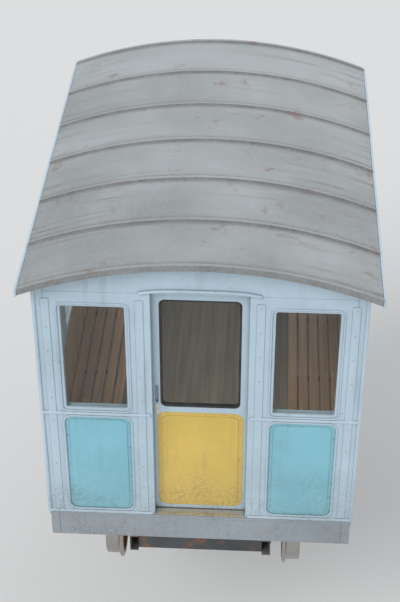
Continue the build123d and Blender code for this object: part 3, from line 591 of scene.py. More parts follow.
@dataclass(frozen=True)
class Timber(Finish):
    """Boards or slats, oiled or varnished, each of its own tone, worn, dust-laden and darkened in their
    corners as painted shade.
    """

    colour: Colour
    grain: Grain
    pitch: float
    varnish: float = 0.2
    dust_and_shade_share: float = 0.2
    dust: Colour = (0.2, 0.17, 0.14)
    deep: float = 0.5
    pale: float = 1.35
    corner_reach: float = 0.03
    pore_scale: float = 9.0
    ring_detail: float = 6.0
    pore_detail: float = 3.0
    ring_levels: Pair = (0.32, 0.68)
    pore_levels: Pair = (0.55, 0.75)
    pore_share: float = 0.5
    board_share: float = 0.45
    roughness: Pair = (0.2, 0.42)
    coat_roughness: float = 0.2
    settled: Patches = Patches(5.0, 5.0, 0.5, 0.8)
    ring_depth: float = 0.0008
    pore_depth: float = 0.0003

    def shade(self, palette: Palette) -> None:
        """Fills in the material's nodes.

        Args:
            palette: What makes them.
        """
        across = palette.parts()["X" if self.grain is Grain.ALONG_Y else "Y"]
        tone = palette.chance(palette.math("FLOOR", palette.math("DIVIDE", across, self.pitch)))
        rings = palette.noise(1.0, self.ring_detail, self.grain.value)
        pores = palette.noise(1.0, self.pore_detail, tuple(c * self.pore_scale for c in self.grain.value))
        deep = toned(self.colour, self.deep)
        wood = palette.mix(palette.window(rings, *self.ring_levels), deep, self.colour)
        wood = palette.mix(palette.times(tone, self.board_share), wood, toned(self.colour, self.pale))
        dark = palette.times(palette.window(pores, *self.pore_levels), self.pore_share)
        wood = palette.mix(dark, wood, deep)
        # Painted shade: corners that ambient occlusion finds are darkened with the dust colour, on top of the
        # settled dust.
        dust_and_corner_shade = palette.most(palette.patches(self.settled), palette.crevices(self.corner_reach))
        wood = palette.mix(palette.times(dust_and_corner_shade, self.dust_and_shade_share), wood, self.dust)
        rough = palette.sloped(rings, *self.roughness, clamp=True)
        normal = palette.bump(pores, self.pore_depth, palette.bump(rings, self.ring_depth))
        coat = {"Coat_Weight": self.varnish, "Coat_Roughness": self.coat_roughness}
        palette.end(palette.shader(Base_Color=wood, Roughness=rough, Normal=normal, **coat))


@dataclass(frozen=True)
class Rubber(Finish):
    """Dull black rubber with scuffs and a bloom of dust."""

    colour: Colour = (0.022, 0.022, 0.023)
    dust: Colour = (0.13, 0.12, 0.11)
    dust_share: float = 0.35
    roughness: Pair = (0.15, 0.66)
    bloom: Patches = Patches(9.0, 6.0, 0.4, 0.8)
    skin: Relief = Relief(240.0, 4.0, 0.0003)

    def shade(self, palette: Palette) -> None:
        """Fills in the material's nodes.

        Args:
            palette: What makes them.
        """
        bloom = palette.patches(self.bloom)
        colour = palette.mix(palette.times(bloom, self.dust_share), self.colour, self.dust)
        rough = palette.sloped(bloom, *self.roughness)
        palette.end(palette.shader(Base_Color=colour, Roughness=rough, Normal=palette.relief(self.skin)))


@dataclass(frozen=True)
class Pane(Finish):
    """Clear window glass that lets lamps through to the cabin, with a thin film of dust."""

    tint: Colour = (0.92, 0.96, 0.955)
    film: Patches = Patches(3.0, 5.0, 0.35, 0.8)
    roughness: Pair = (0.05, 0.015)
    refraction: float = 1.45

    def shade(self, palette: Palette) -> None:
        """Fills in the material's nodes.

        Args:
            palette: What makes them.
        """
        rough = palette.sloped(palette.patches(self.film), *self.roughness)
        surface = {"Base_Color": self.tint, "Roughness": rough, "IOR": self.refraction}
        pane = palette.shader(**surface, Transmission_Weight=1.0)
        clear = palette.first("ShaderNodeBsdfTransparent", {"Color": opaque(self.tint)})
        rays = palette.node("ShaderNodeLightPath").outputs
        for ray in ("Is Diffuse Ray", "Is Shadow Ray"):
            pane = palette.first("ShaderNodeMixShader", {0: rays[ray], 1: pane, 2: clear})
        palette.end(pane)


PALE_FRAME = Paint("pale_frame_paint", "frame_paint", (0.46, 0.59, 0.68))
SILL_BLUE = Paint("sill_gloss_paint", "sill_paint", (0.29, 0.335, 0.375), gloss=0.45, foot=1.25)
TURQUOISE = Paint("turquoise_panel_paint", "panel_turquoise", (0.215, 0.52, 0.62), streaking=0.7)
OCHRE = Paint("ochre_panel_paint", "panel_yellow", (0.7, 0.485, 0.09), streaking=0.7)
ROOFING = SheetRoof("roof_sheet", "roof_metal", (0.34, 0.36, 0.37))
TRUCK = GreasySteel("riveted_steel", "truck_steel", (0.075, 0.08, 0.088))
CASTING = GreasySteel("oily_casting", "cast_iron", (0.085, 0.075, 0.068), rusting=0.9)
FITTING = GreasySteel("door_gear_steel", "fitting_steel", (0.1, 0.105, 0.11), rusting=0.2)
SHAFT = BareMetal("greased_shaft", "axle_steel", (0.32, 0.29, 0.26), rough=0.32, stained=0.85)
BRIGHT = BareMetal("rubbed_metal", "bright_metal", (0.66, 0.65, 0.62), rough=0.24)
DECK = Timber("deck_boards", "deck_wood", (0.36, 0.26, 0.17), Grain.ALONG_Y, 0.11, varnish=0.0, dust_and_shade_share=0.5)
SLATS = Timber("bench_varnish", "bench_wood", (0.5, 0.235, 0.085), Grain.ALONG_Y, 0.078, varnish=0.5)
LINING = Timber("lining_boards", "inner_wood", (0.5, 0.31, 0.15), Grain.ALONG_Z, 0.085, varnish=0.35)
CEILING = Timber("ceiling_boards", "inner_wood", (0.55, 0.38, 0.2), Grain.ALONG_Y, 0.085, varnish=0.35)
RUBBER = Rubber("black_rubber", "buffer_rubber")
GLASS = Pane("clear_pane", "window_glass")


def hand_over(piece: Object, finish: Finish, body: str) -> None:
    """Gives a finished piece its material and the body that carries it.

    Args:
        piece: The piece, in its place at rest.
        finish: Its finish.
        body: The body's name.
    """
    piece.data.materials.clear()
    piece.data.materials.append(finish.material())
    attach(piece, body)
    log.info("%s: %d faces on %s", piece.name, len(piece.data.polygons), body)


def draft(verts: list, edges: list = (), faces: list = ()) -> Object:
    """A raw mesh object, to grow a pattern on or to finish with modifiers.

    Args:
        verts: Its points.
        edges: Its loose edges, as pairs of points.
        faces: Its faces, as loops of points.

    Returns:
        The object.
    """
    mesh = bpy.data.meshes.new("draft")
    mesh.from_pydata([tuple(v) for v in verts], list(edges), list(faces))
    source = bpy.data.objects.new("draft", mesh)
    bpy.context.collection.objects.link(source)
    return source


def settle(source: Object, name: str) -> Object:
    """Turns an object with modifiers into a plain mesh object.

    Args:
        source: The object, which is used up.
        name: The new object's name.

    Returns:
        The new object.
    """
    bpy.context.view_layer.update()
    graph = bpy.context.evaluated_depsgraph_get()
    mesh = bpy.data.meshes.new_from_object(source.evaluated_get(graph))
    bpy.data.objects.remove(source)
    piece = bpy.data.objects.new(name, mesh)
    mesh.name = name
    bpy.context.collection.objects.link(piece)
    return piece


def eased(source: Object, name: str, width: float, segments: int = 2) -> Object:
    """Rounds the sharp edges of a source, with its flat faces kept flat in shading.

    Args:
        source: The raw object, which is used up.
        name: The new object's name.
        width: The width of the rounding, in metres.
        segments: How many flats it has.

    Returns:
        The new object.
    """
    bevel = source.modifiers.new("ease", "BEVEL")
    bevel.width = width
    bevel.segments = segments
    bevel.limit_method = "ANGLE"
    bevel.angle_limit = SHARP_ANGLE
    bevel.use_clamp_overlap = False
    bevel.loop_slide = False
    source.modifiers.new("weigh", "WEIGHTED_NORMAL").keep_sharp = True
    source.data.shade_smooth()
    return settle(source, name)


def merged(node: str) -> bmesh.types.BMesh:
    """Joins a CAD node's loose triangles at their corners.

    Args:
        node: The node's name.

    Returns:
        The joined mesh.
    """
    bm = bmesh.new()
    bm.from_mesh(frame["nodes"][node].data)
    bmesh.ops.remove_doubles(bm, verts=bm.verts, dist=MERGE_REACH)
    return bm


def dress(finish: Finish, *nodes: str, ease: float) -> None:
    """Stands copies of CAD nodes in their places, with eased edges and smooth curves.

    Args:
        finish: The finish that the copies get.
        nodes: The nodes' names. Each copy rides on its node's own body.
        ease: The width of the copies' eased edges, in millimetres.
    """
    for node in nodes:
        bm = merged(node)
        bmesh.ops.dissolve_limit(bm, angle_limit=FLAT_ANGLE, verts=bm.verts, edges=bm.edges)
        source = draft([])
        bm.to_mesh(source.data)
        bm.free()
        for layer in ("custom_normal", "sharp_edge", "sharp_face"):
            if layer in source.data.attributes:
                source.data.attributes.remove(source.data.attributes[layer])
        piece = eased(source, f"{node}_finished", ease * MILLIMETRE)
        hand_over(piece, finish, BODY_OF[node])
        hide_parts(node)


def glaze(*nodes: str) -> None:
    """Gives CAD panes their glass."""
    for slot in [slot for node in nodes for slot in frame["nodes"][node].material_slots]:
        slot.material = GLASS.material()


def islands(node: str) -> list[list[Vector]]:
    """The corner points of each separate solid of a CAD node.

    Args:
        node: The node's name.

    Returns:
        A list of points for each solid.
    """
    bm = merged(node)
    left = set(bm.verts)
    found = []
    while left:
        group, reach = [], [left.pop()]
        while reach:
            vert = reach.pop()
            group.append(vert.co.copy())
            beyond = {edge.other_vert(vert) for edge in vert.link_edges} & left
            left -= beyond
            reach += beyond
        found.append(group)
    bm.free()
    return found


def span(points: list[Vector]) -> tuple[Vector, Vector]:
    """The lowest and highest corner of a set of points."""
    return Vector(map(min, zip(*points))), Vector(map(max, zip(*points)))


class Run(NamedTuple):
    """Points in a row that a pattern grows on, which way it faces, and whether the row is closed."""

    points: list[Vector]
    facing: Vector = UP
    closed: bool = False


@dataclass(frozen=True)
class Face:
    """One upright face of the car, or a plane like it: it looks along X or Y, to one side."""

    axis: int
    side: int

    @property
    def way(self) -> Vector:
        """The way it looks."""
        return self.at(0, 0, 1)

    @property
    def back(self) -> "Face":
        """The face that looks the other way."""
        return Face(self.axis, -self.side)

    def at(self, across: float, z: float, out: float) -> Vector:
        """A point by its place across the face, its height and its distance out from the car's middle."""
        return Vector((across, self.side * out, z) if self.axis else (self.side * out, across, z))

    def depth(self, point: Vector) -> float:
        """How far out from the car's middle a point lies."""
        return self.side * point[self.axis]

    def spots(self, places: Sequence[float], heights: Sequence[float], out: float) -> list[Run]:
        """Single points that face out, at each place across and each height."""
        return [Run([self.at(across, z, out)], self.way) for across in places for z in heights]


SIDES = (Face(0, -1), Face(0, 1))
UPHILL, DOWNHILL = Face(1, -1), Face(1, 1)
ENDS = (UPHILL, DOWNHILL)


def outward(points: list[Vector], axis: int = 0) -> tuple[Face, float]:
    """Where a solid lies beside the car's middle.

    Args:
        points: The solid's points.
        axis: The axis along which it lies beside the middle.

    Returns:
        The face on its side, and how far out it reaches.
    """
    low, high = span(points)
    face = Face(axis, 1 if low[axis] + high[axis] > 0 else -1)
    return face, max(map(face.depth, points))


class Flat(NamedTuple):
    """A flat solid in a wall: its face, the middle of its outer side, its width and its height."""

    face: Face
    middle: Vector
    width: float
    height: float

    def border(self, inset: float, sunk: float, cut: float = 0.027) -> Run:
        """A closed run round it, with cut corners.

        Args:
            inset: How far in from its edge.
            sunk: How far behind its outer side.
            cut: The length of the corners' cuts, along each edge.

        Returns:
            The run.
        """
        across = UP.cross(self.face.way)
        w, h = self.width / 2 - inset, self.height / 2 - inset
        corners = [(w, cut - h), (w, h - cut), (w - cut, h), (cut - w, h),
                   (-w, h - cut), (-w, cut - h), (cut - w, -h), (w - cut, -h)]
        start = self.middle - self.face.way * sunk
        return Run([start + across * a + UP * b for a, b in corners], self.face.way, True)

    def spot(self, out: float) -> Run:
        """Its middle, moved out."""
        return Run([self.middle + self.face.way * out], self.face.way)


def flats(node: str) -> list[Flat]:
    """The flat solids of a CAD node.

    Args:
        node: The node's name.

    Returns:
        One for each of its solids.
    """
    found = []
    for points in islands(node):
        low, high = span(points)
        size, middle = high - low, (low + high) / 2
        face, out = outward(points, 0 if size.x < size.y else 1)
        flank = 1 - face.axis
        found.append(Flat(face, face.at(middle[flank], middle.z, out), size[flank], size.z))
    return found


class Pattern(Wiring):
    """A Geometry Nodes tree with named sizes, which ends in realized instances of one material."""

    sizes: tuple[str, ...] = ()

    def __init__(self, name: str) -> None:
        """Starts the tree, with an input for each of its sizes.

        Args:
            name: The tree's name.
        """
        super().__init__(bpy.data.node_groups.new(name, "GeometryNodeTree"))
        face = self.tree.interface
        kinds = {"Geometry": "Geometry", **dict.fromkeys(self.sizes, "Float"), "Material": "Material"}
        self.ids = {}
        for label, kind in kinds.items():
            socket = face.new_socket(label, in_out="INPUT", socket_type=f"NodeSocket{kind}")
            self.ids[label] = socket.identifier
        face.new_socket("Geometry", in_out="OUTPUT", socket_type="NodeSocketGeometry")
        self.entry = self.node("NodeGroupInput").outputs
        self.draw()

    def draw(self) -> None:
        """Wires the tree. Each kind of pattern has its own."""
        raise NotImplementedError

    def bar(self, path: Socket, cut: Socket) -> Socket:
        """A path with a cross-section, closed at its ends."""
        return self.first("GeometryNodeCurveToMesh", {"Curve": path, "Profile Curve": cut, "Fill Caps": True})

    def rectangle(self, width: Socket, height: Socket) -> Socket:
        """A rectangular curve."""
        return self.first("GeometryNodeCurvePrimitiveQuadrilateral", {"Width": width, "Height": height})

    def filleted(self, curve: Socket, radius: Socket, count: int) -> Socket:
        """A curve with its corners rounded."""
        inputs = {"Curve": curve, "Radius": radius, "Count": count}
        return self.first("GeometryNodeFilletCurve", inputs, mode="POLY")

    def facing(self) -> Socket:
        """Turns a shape by the stored facing.

        Returns:
            A rotation that stands local Z on the facing, with local Y as near upright as can be.
        """
        stored = self.first("GeometryNodeInputNamedAttribute", {"Name": "facing"}, data_type="FLOAT_VECTOR")
        stand = self.first("FunctionNodeAlignRotationToVector", {"Vector": stored}, axis="Z")
        level = {"Rotation": stand, "Vector": tuple(UP)}
        return self.first("FunctionNodeAlignRotationToVector", level, axis="Y", pivot_axis="Z")

    def plant(self, shape: Socket, smooth: bool, points: Socket | None = None) -> None:
        """Ends the tree with one shape on each point, turned to its facing."""
        rows = {"Points": points or self.entry["Geometry"], "Instance": shape, "Rotation": self.facing()}
        self.close(self.first("GeometryNodeInstanceOnPoints", rows), smooth)

    def close(self, geometry: Socket, smooth: bool) -> None:
        """Ends the tree: instances realized, shading set and the material given.

        Args:
            geometry: What the tree has made.
            smooth: Whether it is shaded smooth.
        """
        real = self.first("GeometryNodeRealizeInstances", {0: geometry})
        soft = self.first("GeometryNodeSetShadeSmooth", {"Geometry": real, "Shade Smooth": smooth})
        done = self.first("GeometryNodeSetMaterial", {"Geometry": soft, "Material": self.entry["Material"]})
        self.node("NodeGroupOutput", {0: done})

    def grow(self, name: str, runs: list[Run], finish: Finish, *sizes: float, body: str = "car") -> None:
        """Grows the pattern on runs of points, as one finished piece.

        Args:
            name: The piece's name.
            runs: The runs.
            finish: The piece's finish.
            sizes: The pattern's sizes, in its own order.
            body: The body that carries the piece.
        """
        verts, edges, facing = [], [], []
        for run in runs:
            start, count = len(verts), len(run.points)
            verts += run.points
            facing += [part for point in run.points for part in run.facing]
            edges += [(start + i, start + i + 1) for i in range(count - 1)]
            if run.closed:
                edges.append((start + count - 1, start))
        source = draft(verts, edges)
        source.data.attributes.new("facing", "FLOAT_VECTOR", "POINT").data.foreach_set("vector", facing)
        modifier = source.modifiers.new("pattern", "NODES")
        modifier.node_group = self.tree
        modifier[self.ids["Material"]] = finish.material()
        for label, size in zip(self.sizes, sizes):
            modifier[self.ids[label]] = size
        hand_over(settle(source, name), finish, body)


class Head(Enum):
    """The shape of a fastener's head, as its number of sides."""

    ROUND = 10
    HEX = 6
    SCREW = 12


class Fasteners(Pattern):
    """Fastener heads at the points of a raw mesh, or spaced along its edges."""

    sizes = ("Radius", "Height", "Pitch")
    ball_rings: int = 6
    screw_taper: float = 0.72
    washer_sides: int = 16
    washer_width: float = 1.35
    washer_depth: float = 0.35

    def __init__(self, head: Head, spaced: bool = False) -> None:
        """Starts the tree.

        Args:
            head: The kind of head.
            spaced: Whether heads are spaced along the edges of a mesh, or stand at its points.
        """
        self.head = head
        self.spaced = spaced
        super().__init__(f"{head.name.lower()}_heads_{'spaced' if spaced else 'placed'}")

    def shape(self) -> Socket:
        """Makes one head.

        Returns:
            The head, about its local origin, with Z outward.
        """
        radius, height, sides = self.entry["Radius"], self.entry["Height"], self.head.value
        if self.head is Head.ROUND:
            ball = {"Segments": sides, "Rings": self.ball_rings, "Radius": radius}
            ball = self.first("GeometryNodeMeshUVSphere", ball)
            squash = {0: 1.0, 1: 1.0, 2: self.math("DIVIDE", height, radius)}
            squash = self.first("ShaderNodeCombineXYZ", squash)
            return self.first("GeometryNodeTransform", {"Geometry": ball, "Scale": squash})
        if self.head is Head.SCREW:
            tip = self.times(radius, self.screw_taper)
            cone = {"Vertices": sides, "Radius Top": tip, "Radius Bottom": radius, "Depth": height}
            return self.first("GeometryNodeMeshCone", cone)
        bolt = self.disc(sides, radius, height)
        lift = self.first("ShaderNodeCombineXYZ", {2: self.times(height, 0.5)})
        bolt = self.first("GeometryNodeTransform", {"Geometry": bolt, "Translation": lift})
        wide, thin = self.times(radius, self.washer_width), self.times(height, self.washer_depth)
        both = self.node("GeometryNodeJoinGeometry", {0: bolt})
        self.tree.links.new(self.disc(self.washer_sides, wide, thin), both.inputs[0])
        return both.outputs[0]

    def disc(self, sides: int, radius: Socket, depth: Socket) -> Socket:
        """A round or many-sided disc about its local origin."""
        return self.first("GeometryNodeMeshCylinder", {"Vertices": sides, "Radius": radius, "Depth": depth})

    def draw(self) -> None:
        """Wires the tree."""
        points = self.entry["Geometry"]
        if self.spaced:
            runs = self.first("GeometryNodeMeshToCurve", {0: points})
            even = {"Curve": runs, "Length": self.entry["Pitch"]}
            points = self.first("GeometryNodeResampleCurve", even, mode="LENGTH")
        self.plant(self.shape(), self.head is Head.ROUND, points)


class Section(Enum):
    """The cross-section of a ring of moulding."""

    ROUND = "round"
    FLAT = "flat"


class Rings(Pattern):
    """A rounded rectangle of moulding round each point of a raw mesh."""

    sizes = ("Width", "Height", "Corner", "Bead")
    corner_steps: int = 7
    bead_sides: int = 10
    flat_trim: float = 0.12

    def __init__(self, section: Section) -> None:
        """Starts the tree for one section."""
        self.section = section
        super().__init__(f"{section.value}_rings")

    def draw(self) -> None:
        """Wires the tree."""
        width, height, corner, bead = (self.entry[size] for size in self.sizes)
        path = self.filleted(self.rectangle(width, height), corner, self.corner_steps)
        if self.section is Section.ROUND:
            circle = {"Resolution": self.bead_sides, "Radius": self.times(bead, 0.5)}
            cut = self.first("GeometryNodeCurvePrimitiveCircle", circle)
        else:
            cut = self.filleted(self.rectangle(bead, bead), self.times(bead, self.flat_trim), 1)
        self.plant(self.bar(path, cut), self.section is Section.ROUND)


class Rods(Pattern):
    """Round bar along the edges of a raw mesh, with closed ends."""

    sizes = ("Radius",)
    bar_sides: int = 12

    def draw(self) -> None:
        """Wires the tree."""
        runs = self.first("GeometryNodeMeshToCurve", {0: self.entry["Geometry"]})
        circle = {"Resolution": self.bar_sides, "Radius": self.entry["Radius"]}
        self.close(self.bar(runs, self.first("GeometryNodeCurvePrimitiveCircle", circle)), True)


class Boards(Pattern):
    """Upright boards with eased edges, one at each point of a raw mesh."""

    sizes = ("Width", "Thickness", "Length")
    trim: float = 0.22

    def draw(self) -> None:
        """Wires the tree."""
        width, thickness, length = (self.entry[size] for size in self.sizes)
        cut = self.filleted(self.rectangle(width, thickness), self.times(thickness, self.trim), 1)
        ends = [self.first("ShaderNodeCombineXYZ", {1: self.times(length, half)}) for half in (-0.5, 0.5)]
        path = self.first("GeometryNodeCurvePrimitiveLine", {"Start": ends[0], "End": ends[1]})
        self.plant(self.bar(path, cut), False)


RIVETS, RIVET_RUNS = Fasteners(Head.ROUND), Fasteners(Head.ROUND, spaced=True)
SCREWS, SCREW_RUNS = Fasteners(Head.SCREW), Fasteners(Head.SCREW, spaced=True)
BOLTS = Fasteners(Head.HEX)
BEADS, SASHES = Rings(Section.ROUND), Rings(Section.FLAT)
RODS, BOARDS = Rods("rods"), Boards("boards")


def turned(name: str, profile: list[tuple[float, float]], centre: Vector, sides: int) -> Object:
    """A pair of turned pieces about a line along X, one on each side of the car.

    Args:
        name: The new object's name.
        profile: Pairs of a distance outward and a radius, the first and the last on the axis.
        centre: A point on the axis.
        sides: The number of sides.

    Returns:
        The pair, as one object.
    """
    verts, faces = [], []
    for face in SIDES:
        rings = []
        for out, radius in profile:
            rings.append([len(verts) + i for i in range(sides if radius else 1)])
            turns = [math.tau * i / sides for i in range(len(rings[-1]))]
            verts += [face.at(centre.y + radius * math.cos(turn), centre.z + radius * math.sin(turn), out)
                      for turn in turns]
        for a, b in zip(rings[:-1], rings[1:]):
            for i in range(sides):
                loop = (a[i % len(a)], a[(i + 1) % len(a)], b[(i + 1) % len(b)], b[i % len(b)])
                faces.append(list(dict.fromkeys(loop))[::face.side])
    return settle(draft(verts, (), faces), name)


def corners(start: Vector, end: Vector) -> list[Vector]:
    """The eight corners of a box between two opposite ones."""
    (x, y, z), (far_x, far_y, far_z) = span([start, end])
    return [Vector((a, b, c)) for a in (x, far_x) for b in (y, far_y) for c in (z, far_z)]


def fit_blocks(name: str, blocks: list[list[Vector]], finish: Finish, ease: float, segments: int = 2,
               body: str = "car") -> None:
    """Makes a piece of closed six-sided blocks with eased edges.

    Args:
        name: The piece's name.
        blocks: The eight corners of each, lesser before greater, along Z before Y before X.
        finish: The piece's finish.
        ease: The width of the eased edges, in millimetres.
        segments: How many flats each of them has.
        body: The body that carries the piece.
    """
    loops = ((0, 1, 3, 2), (4, 6, 7, 5), (0, 4, 5, 1), (2, 3, 7, 6), (0, 2, 6, 4), (1, 5, 7, 3))
    faces = [[8 * i + corner for corner in loop] for i in range(len(blocks)) for loop in loops]
    source = draft([corner for block in blocks for corner in block], (), faces)
    hand_over(eased(source, name, ease * MILLIMETRE, segments), finish, body)


def outline(points: list[tuple[float, float]]) -> list[Vector]:
    """The convex outline of flat points, anticlockwise from the lowest first coordinate.

    Args:
        points: The flat points.

    Returns:
        The outline's corners.
    """
    ordered = [Vector(point) for point in sorted(set(points))]
    hull = []
    for sweep in (ordered, ordered[::-1]):
        start = len(hull)
        for point in sweep:
            while len(hull) >= start + 2 and (hull[-1] - hull[-2]).cross(point - hull[-2]) <= 0:
                hull.pop()
            hull.append(point)
        hull.pop()
    return hull


@dataclass
class Truck:
    """The riveted wedge under the cabin, with its axle boxes, brake, drawbar and buffers."""

    rivet: Stud = (0.0115, 0.008)
    gusset_inset: float = 0.0364
    gusset_pitch: float = 0.058
    brace_steps: Triple = (0.04, 0.09, 0.14)
    chord_rivet: Stud = (0.01035, 0.0064)
    chord_row: float = 0.042
    chord_pitch: float = 0.115
    chord_margin: float = 0.1
    foot_bolt: Stud = (0.016, 0.014)
    foot_inset: float = 0.024
    foot_shift: float = 0.032
    brake_nut: Stud = (0.026, 0.022)
    buffer_bolt: Stud = (0.0065, 0.008)
    buffer_plate: float = 0.014
    buffer_inset: Pair = (0.008, 0.03)

    def __post_init__(self) -> None:
        """Reads the slope that the wheels stand on from the two axles."""
        upper, lower = (Vector(JOINTS[f"{end}_wheels_turn"]["pos_m"]) for end in ("upper", "lower"))
        self.along = (lower - upper).normalized()
        self.up = X_WAY.cross(self.along)

    def build(self) -> None:
        """Makes every piece of the truck."""
        dress(TRUCK, "top_chords", "incline_chords", "truck_posts", "gusset_plates", "truck_braces",
              "cross_members", "end_braces", "rope_drawbar", "rope_clevises", "brake_hangers", ease=2.0)
        dress(CASTING, "axle_boxes", "brake_shoes", ease=4.0)
        dress(SHAFT, "brake_shaft", ease=1.5)
        self.plate_rivets()
        self.chord_rivets()
        self.box_bolts()
        self.brake_nuts()
        self.buffers()

    def plate_rivets(self) -> None:
        """Rivets round each gusset, and a few at both ends of each brace."""
        runs, spots = [], []
        for points in islands("gusset_plates"):
            face, out = outward(points)
            flat = outline([(p.y, p.z) for p in points if face.depth(p) > out - MILLIMETRE])
            middle = sum(flat, Vector((0, 0))) / len(flat)
            spokes = [corner - middle for corner in flat]
            ring = [middle + spoke * (1 - self.gusset_inset / spoke.length) for spoke in spokes]
            runs.append(Run([face.at(y, z, out) for y, z in ring], face.way, True))
        for points in islands("truck_braces"):
            face, out = outward(points)
            top, foot = (pick(points, key=lambda p: p.z) for pick in (max, min))
            slant = Vector((0, foot.y - top.y, foot.z - top.z)).normalized()
            rows = [top + slant * step for step in self.brace_steps]
            rows += [foot - slant * step for step in self.brace_steps]
            spots += [Run([face.at(at.y, at.z, out)], face.way) for at in rows]
        RIVET_RUNS.grow("gusset_rivets", runs, TRUCK, *self.rivet, self.gusset_pitch)
        RIVETS.grow("brace_rivets", spots, TRUCK, *self.rivet)

    def chord_rivets(self) -> None:
        """Two rows of rivets along every chord's web."""
        runs = []
        for node, way in (("top_chords", DOWNHILL.way), ("incline_chords", self.along)):
            square = X_WAY.cross(way)
            for points in islands(node):
                face, out = outward(points)
                web = [p for p in points if face.depth(p) > out - MILLIMETRE]
                reaches, levels = [p.dot(way) for p in web], [p.dot(square) for p in web]
                ends = (min(reaches) + self.chord_margin, max(reaches) - self.chord_margin)
                middle = face.way * out + square * (min(levels) + max(levels)) / 2
                for row in (-self.chord_row, self.chord_row):
                    runs.append(Run([middle + square * row + way * end for end in ends], face.way))
        RIVET_RUNS.grow("chord_rivets", runs, TRUCK, *self.chord_rivet, self.chord_pitch)

    def box_bolts(self) -> None:
        """Bolts through the feet of the axle boxes."""
        shift = X_WAY * self.foot_shift
        spots = []
        for points in islands("axle_boxes"):
            low, high = span(points)
            middle = X_WAY * (low.x + high.x) / 2
            top = max(p.dot(self.up) for p in points)
            foot = [p.dot(self.along) for p in points if p.dot(self.up) > top - 2 * MILLIMETRE]
            for place in (min(foot) + self.foot_inset, max(foot) - self.foot_inset):
                at = middle + self.along * place + self.up * (top - self.foot_inset)
                spots += [Run([at + aside], -self.up) for aside in (-shift, shift)]
        BOLTS.grow("axle_box_bolts", spots, CASTING, *self.foot_bolt)

    def brake_nuts(self) -> None:
        """Nuts on the ends of the brake's shaft, outside its shoes."""
        low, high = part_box("brake_shaft")
        middle = (low + high) / 2
        spots = []
        for face, out in map(outward, islands("brake_shoes")):
            spots += face.spots([middle.y], [middle.z], out)
        BOLTS.grow("brake_nuts", spots, CASTING, *self.brake_nut)

    def buffers(self) -> None:
        """Rubber pads on bolted plates at the downhill end."""
        dress(RUBBER, "buffer_pads", ease=5.0)
        inset, margin = self.buffer_inset
        spots = []
        for low, high in map(span, islands("buffer_pads")):
            heights = (low.z + margin, (low.z + high.z) / 2, high.z - margin)
            spots += DOWNHILL.spots((low.x + inset, high.x - inset), heights, low.y + self.buffer_plate)
        BOLTS.grow("buffer_bolts", spots, TRUCK, *self.buffer_bolt)


@dataclass
class Wheelset:
    """One axle with its two spoked wheels, which turn together."""

    name: str
    flange_height: float = 0.028
    hub_radius: float = 0.092
    cap_sides: int = 48
    cap_radius: float = 0.04
    cap_depth: float = 0.012
    cap_shoulder: Pair = (0.7, 0.8)
    cap_bolt: Stud = (0.007, 0.007)
    cap_bolts: int = 3
    cap_bolt_ring: float = 0.022

    def build(self) -> None:
        """Makes the wheels, the axle and the bolted caps on its ends."""
        body = f"{self.name}_wheelset"
        centre = Vector(JOINTS[f"{self.name}_wheels_turn"]["pos_m"])
        low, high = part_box(f"{self.name}_wheels")
        place, tread = (centre.y, centre.z), (high.z - low.z) / 2 - self.flange_height
        iron = WheelIron(f"{self.name}_wheel_iron", "wheel_steel", place, tread, self.hub_radius)
        dress(iron, f"{self.name}_wheels", ease=3.0)
        dress(SHAFT, f"{self.name}_axle", ease=1.0)
        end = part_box(f"{self.name}_axle")[1].x
        root, top, radius = end - MILLIMETRE, end + self.cap_depth, self.cap_radius
        depth, width = self.cap_shoulder
        shoulder = [(end + self.cap_depth * depth, radius), (top, radius * width)]
        profile = [(root, 0), (root, radius), *shoulder, (top, 0)]
        hand_over(turned(f"{self.name}_axle_caps", profile, centre, self.cap_sides), CASTING, body)
        ring = self.cap_bolt_ring
        turns = [math.tau * i / self.cap_bolts for i in range(self.cap_bolts)]
        places = [(centre.y + ring * math.cos(turn), centre.z + ring * math.sin(turn)) for turn in turns]
        spots = [Run([face.at(y, z, top)], face.way) for face in SIDES for y, z in places]
        BOLTS.grow(f"{self.name}_cap_bolts", spots, CASTING, *self.cap_bolt, body=body)


